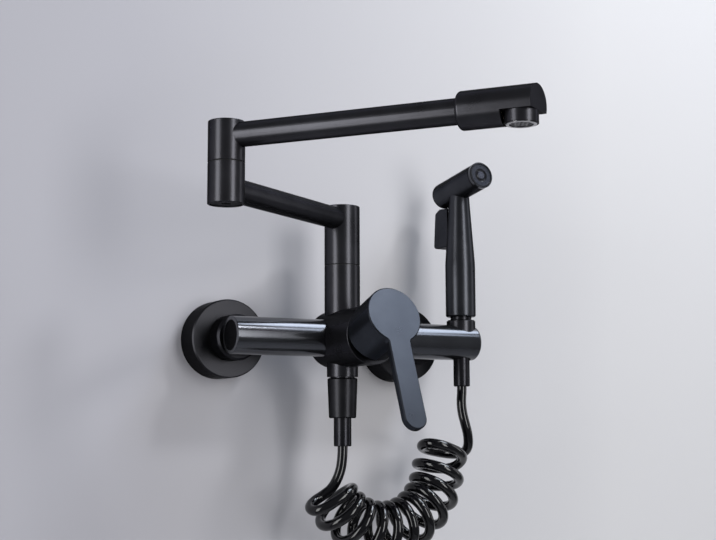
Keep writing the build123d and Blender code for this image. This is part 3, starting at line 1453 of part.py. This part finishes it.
def free_tube(name, points):
    """Straight runs joined by tangent arcs as large as the runs allow."""
    spots = [Vector(*p) for p in points]
    radii = []
    for a, b, c in zip(spots, spots[1:], spots[2:]):
        before, after = b - a, c - b
        turn = radians(before.get_angle(after))
        radii.append(0.45 * min(before.length, after.length) / tan(turn / 2))
    line = FilletPolyline(*spots, radius=radii)
    section = Plane(origin=spots[0], z_dir=spots[1] - spots[0]) * Circle(HOSE_R)
    tube = sweep(section, path=line)
    want = pi * HOSE_R**2 * line.length
    print(f"{name}: {line.length:.1f} mm, radii {[round(r, 1) for r in radii]}, volume {tube.volume / want:.4f}")
    return tube


# --- write every piece --------------------------------------------------------------------
PIECES = {
    "wall_unions": lambda: both_sides(wall_union),
    "wall_flanges": lambda: both_sides(wall_flange),
    "flange_seals": lambda: both_sides(flange_seal),
    "union_nuts": lambda: both_sides(union_nut),
    "filter_washers": lambda: both_sides(filter_washer),
    "bar_left": bar_left,
    "bar_end_plug": bar_end_plug,
    "bar_right": bar_right,
    "mixer_body": mixer_body,
    "column_sleeve": column_sleeve,
    "column_spigot": column_spigot,
    "column_rings": column_rings,
    "column_head": column_head,
    "column_screw": column_screw,
    "swivel_washers": lambda: Compound(children=[column_washer(), elbow_washer()]),
    "arm_low": arm_low,
    "elbow_low": elbow_low,
    "elbow_plug": elbow_plug,
    "elbow_high": elbow_high,
    "elbow_spigot": elbow_spigot,
    "elbow_clip": elbow_clip,
    "spout_rings": lambda: Compound(children=[elbow_rings(), tip_rings()]),
    "arm_high": arm_high,
    "tip_spigot": tip_spigot,
    "nozzle": nozzle,
    "nozzle_screw": nozzle_screw,
    "aerator_seal": aerator_seal,
    "aerator_shell": aerator_shell,
    "aerator_insert": aerator_insert,
    "cartridge_shell": cartridge_shell,
    "cartridge_seals": cartridge_seals,
    "fixed_disc": fixed_disc,
    "slide_disc": slide_disc,
    "rotor": rotor,
    "stem_pin": stem_pin,
    "lock_nut": lock_nut,
    "dome": dome,
    "stem": stem,
    "handle": handle,
    "handle_screw": handle_screw,
    "holder_ring": holder_ring,
    "holder_liner": holder_liner,
    "sprayer_tail": sprayer_tail,
    "sprayer_grip": sprayer_grip,
    "sprayer_head": sprayer_head,
    "face_ring": face_ring,
    "spray_plate": spray_plate,
    "trigger": trigger,
    "trigger_pin": trigger_pin,
    "valve_body": valve_body,
    "plunger": plunger,
    "valve_spring": valve_spring,
    "hose_outlet": hose_outlet,
    "check_valve": check_valve,
    "hose_nut": hose_nut,
    "hose_ferrule": hose_ferrule,
    "hose_connector": hose_connector,
    "hose_tail_body": lambda: free_tube("hose_tail_body", BODY_TAIL),
    "hose_coil": hose_coil,
    "hose_tail_sprayer": lambda: free_tube("hose_tail_sprayer", SPRAYER_TAIL),
}

os.makedirs("parts", exist_ok=True)
for name, make in PIECES.items():
    export_step(make(), f"parts/{name}.step")
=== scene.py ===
"""Wall mounted pot filler with a hand sprayer: finishes, curly hose, light and camera."""

import json
import math

import bpy
from mathutils import Matrix, Vector


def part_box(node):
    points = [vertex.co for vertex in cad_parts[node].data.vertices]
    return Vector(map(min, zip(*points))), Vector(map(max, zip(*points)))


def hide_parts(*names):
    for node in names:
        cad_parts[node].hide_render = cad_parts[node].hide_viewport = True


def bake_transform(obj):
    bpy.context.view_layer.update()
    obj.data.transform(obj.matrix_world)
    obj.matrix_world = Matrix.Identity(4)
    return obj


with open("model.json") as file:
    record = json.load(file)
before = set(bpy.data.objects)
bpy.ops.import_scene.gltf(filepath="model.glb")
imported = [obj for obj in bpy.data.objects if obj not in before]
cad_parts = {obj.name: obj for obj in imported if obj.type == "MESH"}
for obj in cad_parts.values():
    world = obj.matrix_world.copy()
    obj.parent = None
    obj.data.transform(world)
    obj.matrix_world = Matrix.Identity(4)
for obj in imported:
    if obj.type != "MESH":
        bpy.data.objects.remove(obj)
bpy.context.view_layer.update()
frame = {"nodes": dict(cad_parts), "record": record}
nodes = frame["nodes"]

# --- where the hose meets the solids, in metres -------------------------------------------
BAR_OUT = -0.0553  # the bar's axis in front of the wall
HOLDER_X = 0.1039
FERRULE_FOOT_Z = -0.0776
CONNECTOR_FOOT_Z = -0.0333

# --- hose, in metres; places along the coil are counted in curls --------------------------
HOSE_DIAMETER = 0.0074
FERRULE_STRAIGHT = 0.0079  # how far the hose leaves each fitting in a straight line
CONNECTOR_STRAIGHT = 0.0042
CURL_R = 0.0166
CURL_PITCH = 0.012941
CURL_START = -0.18
EVEN_START = 0.28
EVEN_END = 9.9
POINTS_PER_CURL = 16
BEND_X = 0.0318
BEND_Z = -0.0875
BEND_R = 0.0495
BEND_START = math.radians(206)
BEND_END = math.radians(345)
COIL_LEAN_X = 0.04  # the coil's axis leans so much for each metre above COIL_LEAN_Z
COIL_LEAN_Y = 0.14
COIL_LEAN_Z = -0.085
ROUTE_ORDER = 3  # of the NURBS curve
ROUTE_STEPS = 4  # between two control points
TUBE_RESOLUTION = 8

BODY_TAIL = [
    (0.0, BAR_OUT, FERRULE_FOOT_Z),
    (0.0, BAR_OUT, FERRULE_FOOT_Z - FERRULE_STRAIGHT),
    (-0.0022, BAR_OUT, -0.0970),
]
FIRST_CURL = [
    (-0.0076, -0.0539, -0.1074),
    (-0.0140, -0.0512, -0.1124),
    (-0.0216, -0.0510, -0.1164),
    (-0.0279, -0.0566, -0.1202),
    (-0.0285, -0.0655, -0.1224),
    (-0.0236, -0.0722, -0.1204),
]
LAST_CURL = [
    (0.0996, -0.0522, -0.0936),
    (0.1012, -0.0598, -0.0884),
    (0.0950, -0.0664, -0.0836),
    (0.0846, -0.0700, -0.0800),
    (0.0740, -0.0692, -0.0766),
    (0.0674, -0.0620, -0.0755),
    (0.0683, -0.0520, -0.0776),
    (0.0768, -0.0430, -0.0806),
    (0.0898, -0.0388, -0.0828),
    (0.1025, -0.0406, -0.0848),
    (0.1094, -0.0466, -0.0844),
    (0.1104, -0.0536, -0.0798),
]
SPRAYER_TAIL = [
    (0.1080, -0.0568, -0.0700),
    (0.1052, -0.0572, -0.0615),
    (0.1030, -0.0568, -0.0535),
    (0.1026, -0.0560, -0.0450),
    (HOLDER_X, BAR_OUT, CONNECTOR_FOOT_Z - CONNECTOR_STRAIGHT),
    (HOLDER_X, BAR_OUT, CONNECTOR_FOOT_Z),
]

# --- coats --------------------------------------------------------------------------------
# Each row is a dark and a light colour and the roughness from and to. A row of COATED may add
# the edge's tint, and one of MOULDED its glaze. Patches, grains and reliefs are in metres.
NOISE_LOW, NOISE_HIGH = 0.3, 0.7  # most of a noise's values lie between these
FINE_DETAIL = 2.0

COAT_METALLIC = 0.88
COAT_EDGE = (0.16, 0.16, 0.175)
POLISHED_EDGE = (1.0, 1.0, 1.0)
COAT_PATCH = 0.018
COAT_PATCH_DETAIL = 4.0
COAT_GRAIN = 0.0004
COAT_RELIEF = 0.000003
# The rows for the hose fittings, the dome and the flanges are darker copies of the black coat:
# painted shade for parts that sit in shade.
COATED = {
    "black_metal": ((0.044, 0.044, 0.049), (0.056, 0.056, 0.063), 0.27, 0.31),
    "bar_metal": ((0.074, 0.076, 0.085), (0.084, 0.087, 0.097), 0.165, 0.175, POLISHED_EDGE),
    "handle_metal": ((0.040, 0.044, 0.053), (0.050, 0.055, 0.066), 0.27, 0.30),
    "hose_fitting": ((0.024, 0.024, 0.028), (0.033, 0.033, 0.037), 0.24, 0.30),
    "dome_metal": ((0.018, 0.018, 0.021), (0.025, 0.025, 0.028), 0.30, 0.36),
    "grip_black": ((0.046, 0.048, 0.055), (0.058, 0.060, 0.068), 0.27, 0.31),
    "painted_shade_coat": ((0.026, 0.026, 0.029), (0.034, 0.034, 0.038), 0.32, 0.38),
}

TOOL_MARKS = 160.0  # the noise's scale, and how many times finer it is along each axis
TOOL_MARKS_FINER = (1.0, 1.0, 40.0)
TOOL_RELIEF = 0.000006
MACHINED = {
    "raw_brass": ((0.42, 0.29, 0.12), (0.58, 0.42, 0.20), 0.22, 0.36),
    "steel": ((0.38, 0.38, 0.39), (0.55, 0.55, 0.56), 0.20, 0.34),
    "aerator_metal": ((0.20, 0.20, 0.21), (0.30, 0.30, 0.31), 0.16, 0.26),
}

MOULD_PATCH = 0.012
MOULD_PATCH_DETAIL = 3.0
MOULD_GRAIN = 0.0004
MOULD_RELIEF = 0.00001
GLAZE = 0.5
GLAZE_ROUGHNESS = 0.1
MOULDED = {
    "liner_plastic": ((0.010, 0.010, 0.010), (0.016, 0.016, 0.016), 0.45, 0.58),
    "inner_plastic": ((0.60, 0.60, 0.55), (0.70, 0.70, 0.66), 0.35, 0.5),
    "ceramic": ((0.74, 0.74, 0.71), (0.82, 0.82, 0.79), 0.08, 0.14, GLAZE),
    "seal_rubber": ((0.010, 0.010, 0.010), (0.018, 0.018, 0.018), 0.6, 0.75),
    "aerator_plastic": ((0.10, 0.10, 0.11), (0.14, 0.14, 0.15), 0.4, 0.55),
    "hose_plastic": ((0.002, 0.002, 0.003), (0.003, 0.003, 0.004), 0.07, 0.10),
}

# Distance from the middle of the spray face, and the face's colour there: a lighter middle and rim
# painted as sheen, and a dark ring painted as the shade in its recess.
FACE_PAINTED_LIGHT_RINGS = (
    (0.0026, (0.080, 0.086, 0.115)),
    (0.0034, (0.006, 0.006, 0.009)),
    (0.0048, (0.008, 0.008, 0.012)),
    (0.0060, (0.040, 0.044, 0.060)),
)
FACE_ROUGHNESS = (0.16, 0.22)
FACE_RELIEF = 0.000004

# The nodes that look different from the rest of their slot, and the coat they have instead: the
# flanges, union nuts, bar end plug and hose nut get darker coats as painted shade, the face ring a
# glossier coat, and the spray plate its rings of painted light.
OWN_COAT = {
    "wall_flanges": "painted_shade_coat",
    "union_nuts": "dome_metal",
    "bar_end_plug": "dome_metal",
    "hose_nut": "painted_shade_coat",
    "face_ring": "bar_metal",
    "spray_plate": "spray_plate",
}

# --- stage --------------------------------------------------------------------------------
WALL_Y = 0.0002  # a hair behind the flanges, so that they don't share a plane
FLOOR_Z = -1.3
STAGE_HALF = 1.5
# Places along x, and the wall's colour there: painted light falloff, darker to the left and
# lighter to the right.
WALL_PAINTED_FALLOFF = (
    (-0.90, (0.32, 0.315, 0.35)),
    (-0.15, (0.55, 0.545, 0.59)),
    (0.30, (0.80, 0.79, 0.80)),
)
FLOOR_COLOUR = (0.70, 0.70, 0.72, 1.0)
STAGE_ROUGHNESS = 0.9
STAGE_SPECULAR = 0.1

# --- light --------------------------------------------------------------------------------
WHITE = (1.0, 1.0, 1.0)
COOL = (0.80, 0.88, 1.0)
MIDDLE = (0.0, -0.08, 0.03)
# Each lamp's place, what it is aimed at, its width and height, its power and its colour.
LAMPS = {
    "key": ((0.62, -1.38, 1.395), MIDDLE, (0.22, 0.22), 6.5, WHITE),
    "top_box": ((0.80, -0.47, 1.33), (0.03, -0.06, 0.0), (0.62, 0.62), 11.0, COOL),
    "cap_box": ((0.86, -1.06, 1.08), (0.04, -0.12, 0.0), (0.40, 0.40), 2.6, COOL),
    "front_box": ((0.31, -1.39, 0.18), MIDDLE, (0.42, 1.0), 7.8, WHITE),
    "left_box": ((-1.10, -0.36, 0.15), MIDDLE, (0.44, 0.6), 4.2, WHITE),
    "overhead": ((0.35, -0.45, 1.05), MIDDLE, (1.5, 0.20), 2.0, WHITE),
    "low_left": ((-1.00, -0.36, -0.30), MIDDLE, (0.40, 0.30), 1.7, WHITE),
    "right_side": ((1.15, -0.42, 0.25), MIDDLE, (0.25, 0.8), 1.2, WHITE),
}
WORLD_COLOUR = (0.86, 0.88, 0.95, 1.0)
WORLD_LIGHT = 0.05
WORLD_SEEN = 0.18

# --- camera -------------------------------------------------------------------------------
CAMERA_AT = (-0.44384, -0.86989, -0.0651)
CAMERA_YAW = math.radians(29.3)
CAMERA_UP = math.radians(7.1)
CAMERA_ROLL = math.radians(-0.23)
CAMERA_LENS = 64.1
CAMERA_SENSOR = 36.0
CAMERA_NEAR = 0.01


# --- node trees ---------------------------------------------------------------------------
class Tree:
    """The node tree of a material or of the world, built with short calls."""

    def __init__(self, owner):
        owner.use_nodes = True
        self.nodes = owner.node_tree.nodes
        self.links = owner.node_tree.links

    def node(self, kind, **values):
        made = self.nodes.new(kind)
        for key, value in values.items():
            setattr(made, key, value)
        return made

    def link(self, output, target):
        self.links.new(output, target)

    def mix(self, share, first, second):
        """The first shader where share is 0, and the second where it is 1."""
        made = self.node("ShaderNodeMixShader")
        self.link(share, made.inputs["Fac"])
        self.link(first, made.inputs[1])
        self.link(second, made.inputs[2])
        return made.outputs["Shader"]


class Shader(Tree):
    """A material with a Principled BSDF."""

    def __init__(self, name):
        self.material = bpy.data.materials.new(name)
        super().__init__(self.material)
        self.bsdf = self.nodes["Principled BSDF"]

    def place(self):
        return self.node("ShaderNodeTexCoord").outputs["Object"]

    def noise(self, size, detail):
        """Noise whose lumps are about size metres across."""
        made = self.node("ShaderNodeTexNoise")
        made.inputs["Scale"].default_value = 1.0 / size
        made.inputs["Detail"].default_value = detail
        self.link(self.place(), made.inputs["Vector"])
        return made.outputs["Fac"]

    def spread(self, source, low, high, start=NOISE_LOW, stop=NOISE_HIGH):
        """The source's start to stop, as low to high."""
        made = self.node("ShaderNodeMapRange")
        made.inputs["From Min"].default_value = start
        made.inputs["From Max"].default_value = stop
        made.inputs["To Min"].default_value = low
        made.inputs["To Max"].default_value = high
        self.link(source, made.inputs["Value"])
        return made.outputs["Result"]

    def tint(self, source, dark, light, start=NOISE_LOW, stop=NOISE_HIGH):
        """The base colour, dark at the source's start and light at its stop."""
        ramp = self.node("ShaderNodeValToRGB")
        ramp.color_ramp.elements[0].position = start
        ramp.color_ramp.elements[0].color = (*dark, 1.0)
        ramp.color_ramp.elements[1].position = stop
        ramp.color_ramp.elements[1].color = (*light, 1.0)
        self.link(source, ramp.inputs["Fac"])
        self.link(ramp.outputs["Color"], self.bsdf.inputs["Base Color"])
        return ramp.color_ramp

    def roughen(self, source, low, high):
        self.link(self.spread(source, low, high), self.bsdf.inputs["Roughness"])

    def bump(self, source, depth):
        made = self.node("ShaderNodeBump")
        made.inputs["Distance"].default_value = depth
        self.link(source, made.inputs["Height"])
        self.link(made.outputs["Normal"], self.bsdf.inputs["Normal"])


# --- materials ----------------------------------------------------------------------------
def coated(name, dark, light, rough_low, rough_high, edge=COAT_EDGE):
    """A satin black coat on metal: mottled roughness, a trace of colour change, fine relief."""
    s = Shader(name)
    wide = s.noise(COAT_PATCH, COAT_PATCH_DETAIL)
    fine = s.noise(COAT_GRAIN, FINE_DETAIL)
    s.tint(wide, dark, light)
    s.roughen(wide, rough_low, rough_high)
    s.bump(fine, COAT_RELIEF)
    s.bsdf.inputs["Metallic"].default_value = COAT_METALLIC
    s.bsdf.inputs["Specular Tint"].default_value = (*edge, 1.0)
    return s.material


def machined(name, dark, light, rough_low, rough_high):
    """Bare metal with fine tool marks along one way."""
    s = Shader(name)
    place = s.node("ShaderNodeMapping")
    place.inputs["Scale"].default_value = TOOL_MARKS_FINER
    s.link(s.place(), place.inputs["Vector"])
    marks = s.node("ShaderNodeTexNoise")
    marks.inputs["Scale"].default_value = TOOL_MARKS
    s.link(place.outputs["Vector"], marks.inputs["Vector"])
    s.tint(marks.outputs["Fac"], dark, light)
    s.roughen(marks.outputs["Fac"], rough_low, rough_high)
    s.bump(marks.outputs["Fac"], TOOL_RELIEF)
    s.bsdf.inputs["Metallic"].default_value = 1.0
    return s.material


def moulded(name, dark, light, rough_low, rough_high, glaze=0.0):
    """Plastic, rubber or ceramic."""
    s = Shader(name)
    wide = s.noise(MOULD_PATCH, MOULD_PATCH_DETAIL)
    fine = s.noise(MOULD_GRAIN, FINE_DETAIL)
    s.tint(wide, dark, light)
    s.roughen(fine, rough_low, rough_high)
    s.bump(fine, MOULD_RELIEF)
    s.bsdf.inputs["Coat Weight"].default_value = glaze
    s.bsdf.inputs["Coat Roughness"].default_value = GLAZE_ROUGHNESS
    return s.material


def ringed_painted_light(name, middle, rings):
    """A moulded face whose colour changes with the distance from its middle, with its sheen and
    the shade of its recess painted in.
    """
    s = Shader(name)
    apart = s.node("ShaderNodeVectorMath", operation="DISTANCE")
    s.link(s.place(), apart.inputs[0])
    apart.inputs[1].default_value = middle
    reach = rings[-1][0]
    across = s.spread(apart.outputs["Value"], 0.0, 1.0, 0.0, reach)
    ramp = s.tint(across, rings[0][1], rings[-1][1], rings[0][0] / reach, 1.0)
    for radius, colour in rings[1:-1]:
        ramp.elements.new(radius / reach).color = (*colour, 1.0)
    fine = s.noise(MOULD_GRAIN, FINE_DETAIL)
    s.roughen(fine, *FACE_ROUGHNESS)
    s.bump(fine, FACE_RELIEF)
    return s.material


def face_middle():
    low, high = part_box("face_ring")
    return [(a + b) / 2 for a, b in zip(low, high)]


def make_materials():
    made = {}
    for maker, rows in ((coated, COATED), (machined, MACHINED), (moulded, MOULDED)):
        for name, look in rows.items():
            made[name] = maker(name, *look)
    # The spray face's rings of colour paint in its sheen and the shade of its recess.
    made["spray_plate"] = ringed_painted_light("spray_plate", face_middle(), FACE_PAINTED_LIGHT_RINGS)
    return made


def coat_solids(materials):
    for part in frame["record"]["subparts"]:
        mesh = nodes[part["node"]].data
        mesh.materials.clear()
        mesh.materials.append(materials[OWN_COAT.get(part["node"], part["material_slot"])])


# --- hose ---------------------------------------------------------------------------------
def axis_at(run):
    """The coil's own axis: a hanging bend and then a short straight rise."""
    bend_length = BEND_R * (BEND_END - BEND_START)
    turn = BEND_START + min(run, bend_length) / BEND_R
    rise = max(run - bend_length, 0.0)
    x = BEND_X + BEND_R * math.cos(turn) - rise * math.sin(turn)
    z = BEND_Z + BEND_R * math.sin(turn) + rise * math.cos(turn)
    drop = z - COIL_LEAN_Z
    way_x = -math.sin(turn)
    way_z = math.cos(turn)
    point = Vector((x + COIL_LEAN_X * drop, BAR_OUT + COIL_LEAN_Y * drop, z))
    way = Vector((way_x + COIL_LEAN_X * way_z, COIL_LEAN_Y * way_z, way_z)).normalized()
    return point, way


def helix():
    """The even curls' control points, set out a little so that the curve itself runs at CURL_R."""
    steps = round((EVEN_END - EVEN_START) * POINTS_PER_CURL)
    radius = CURL_R / math.cos(math.pi / POINTS_PER_CURL)
    points = []
    for i in range(steps + 1):
        turn = EVEN_START + (EVEN_END - EVEN_START) * i / steps
        centre, along = axis_at((turn - CURL_START) * CURL_PITCH)
        outer = Vector((along.z, 0, -along.x)).normalized()
        side = outer.cross(along)
        angle = 2 * math.pi * turn
        points.append(centre + outer * radius * math.cos(angle) + side * radius * math.sin(angle))
    return points


def hose_route():
    """The hose's control points, from the ferrule to the sprayer's connector."""
    before = [Vector(p) for p in BODY_TAIL + FIRST_CURL]
    after = [Vector(p) for p in LAST_CURL + SPRAYER_TAIL]
    return before + helix() + after


def swept(route, diameter):
    """The route's path as points, and a capped tube along it as a mesh."""
    curve = bpy.data.curves.new("hose_route", "CURVE")
    curve.dimensions = "3D"
    curve.resolution_u = ROUTE_STEPS
    spline = curve.splines.new("NURBS")
    spline.points.add(len(route) - 1)
    for point, place in zip(spline.points, route):
        point.co = (*place, 1.0)
    spline.order_u = ROUTE_ORDER
    spline.use_endpoint_u = True
    line = bpy.data.objects.new("hose_route", curve)
    bpy.context.scene.collection.objects.link(line)
    bpy.context.view_layer.update()
    wire = bpy.data.meshes.new_from_object(line)
    path = [v.co.copy() for v in wire.vertices]
    curve.bevel_depth = diameter / 2
    curve.bevel_resolution = TUBE_RESOLUTION
    curve.use_fill_caps = True
    bpy.context.view_layer.update()
    tube = bpy.data.meshes.new_from_object(line)
    bpy.data.objects.remove(line)
    for face in tube.polygons:
        face.use_smooth = True
    return path, tube


def make_hose(material):
    path, tube = swept(hose_route(), HOSE_DIAMETER)
    tube.materials.clear()
    tube.materials.append(material)
    hose = bpy.data.objects.new("curly_hose", tube)
    bpy.context.scene.collection.objects.link(hose)
    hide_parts("hose_tail_body", "hose_coil", "hose_tail_sprayer")
    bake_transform(hose)


# --- stage, light and camera ----------------------------------------------------------------
def stage_shader(name):
    s = Shader(name)
    s.bsdf.inputs["Roughness"].default_value = STAGE_ROUGHNESS
    s.bsdf.inputs["Specular IOR Level"].default_value = STAGE_SPECULAR
    return s


def wall_material():
    """A colour that changes along x, painted darker to the left and lighter to the right as the
    light's falloff, and clear from behind so that the object's back can be seen.
    """
    s = stage_shader("wall")
    split = s.node("ShaderNodeSeparateXYZ")
    s.link(s.place(), split.inputs["Vector"])
    # The wall's colour is painted darker to the left and lighter to the right, standing in for the
    # light's falloff.
    first, last = WALL_PAINTED_FALLOFF[0], WALL_PAINTED_FALLOFF[-1]
    across = s.spread(split.outputs["X"], 0.0, 1.0, first[0], last[0])
    ramp = s.tint(across, first[1], last[1], 0.0, 1.0)
    for place, colour in WALL_PAINTED_FALLOFF[1:-1]:
        ramp.elements.new((place - first[0]) / (last[0] - first[0])).color = (*colour, 1.0)
    clear = s.node("ShaderNodeBsdfTransparent")
    behind = s.node("ShaderNodeNewGeometry").outputs["Backfacing"]
    shown = s.mix(behind, s.bsdf.outputs["BSDF"], clear.outputs["BSDF"])
    s.link(shown, s.nodes["Material Output"].inputs["Surface"])
    return s.material


def floor_material():
    s = stage_shader("floor")
    s.bsdf.inputs["Base Color"].default_value = FLOOR_COLOUR
    return s.material


def place_sheet(name, corners, material):
    mesh = bpy.data.meshes.new(name)
    mesh.from_pydata(corners, [], [(0, 1, 2, 3)])
    mesh.materials.append(material)
    obj = bpy.data.objects.new(name, mesh)
    bpy.context.scene.collection.objects.link(obj)


def make_stage():
    low, high = -STAGE_HALF, STAGE_HALF
    place_sheet(
        "wall",
        [(low, WALL_Y, low), (high, WALL_Y, low), (high, WALL_Y, high), (low, WALL_Y, high)],
        wall_material(),
    )
    place_sheet(
        "floor",
        [(low, low, FLOOR_Z), (high, low, FLOOR_Z), (high, high, FLOOR_Z), (low, high, FLOOR_Z)],
        floor_material(),
    )


def place_lamp(name, place, target, size, power, colour):
    lamp = bpy.data.lights.new(name, "AREA")
    lamp.shape = "RECTANGLE"
    lamp.size, lamp.size_y = size
    lamp.energy = power
    lamp.color = colour
    obj = bpy.data.objects.new(name, lamp)
    obj.location = place
    way = Vector(target) - Vector(place)
    obj.rotation_euler = way.to_track_quat("-Z", "Y").to_euler()
    bpy.context.scene.collection.objects.link(obj)


def make_world():
    """A faint even light, with a paler backdrop for what is seen straight or in a reflection."""
    world = bpy.data.worlds.new("studio")
    bpy.context.scene.world = world
    t = Tree(world)
    light = t.nodes["Background"]
    backdrop = t.node("ShaderNodeBackground")
    for background, strength in ((light, WORLD_LIGHT), (backdrop, WORLD_SEEN)):
        background.inputs["Color"].default_value = WORLD_COLOUR
        background.inputs["Strength"].default_value = strength
    rays = t.node("ShaderNodeLightPath")
    seen = rays.outputs["Is Camera Ray"]
    for ray in ("Is Glossy Ray", "Is Transmission Ray"):
        either = t.node("ShaderNodeMath", operation="MAXIMUM")
        t.link(seen, either.inputs[0])
        t.link(rays.outputs[ray], either.inputs[1])
        seen = either.outputs["Value"]
    shown = t.mix(seen, light.outputs["Background"], backdrop.outputs["Background"])
    t.link(shown, t.nodes["World Output"].inputs["Surface"])


def place_camera():
    across = Vector((math.cos(CAMERA_YAW), -math.sin(CAMERA_YAW), 0.0))
    ahead = Vector(
        (
            math.sin(CAMERA_YAW) * math.cos(CAMERA_UP),
            math.cos(CAMERA_YAW) * math.cos(CAMERA_UP),
            math.sin(CAMERA_UP),
        )
    )
    above = across.cross(ahead)
    right = across * math.cos(CAMERA_ROLL) + above * math.sin(CAMERA_ROLL)
    up = above * math.cos(CAMERA_ROLL) - across * math.sin(CAMERA_ROLL)
    data = bpy.data.cameras.new("camera")
    data.sensor_width = CAMERA_SENSOR
    data.lens = CAMERA_LENS
    data.clip_start = CAMERA_NEAR
    camera = bpy.data.objects.new("camera", data)
    camera.matrix_world = Matrix(
        (
            (right.x, up.x, -ahead.x, CAMERA_AT[0]),
            (right.y, up.y, -ahead.y, CAMERA_AT[1]),
            (right.z, up.z, -ahead.z, CAMERA_AT[2]),
            (0.0, 0.0, 0.0, 1.0),
        )
    )
    bpy.context.scene.collection.objects.link(camera)
    bpy.context.scene.camera = camera


materials = make_materials()
coat_solids(materials)
make_hose(materials["hose_plastic"])
make_stage()
for lamp_name, lamp in LAMPS.items():
    place_lamp(lamp_name, *lamp)
make_world()
place_camera()
bpy.context.scene.view_settings.view_transform = "Standard"
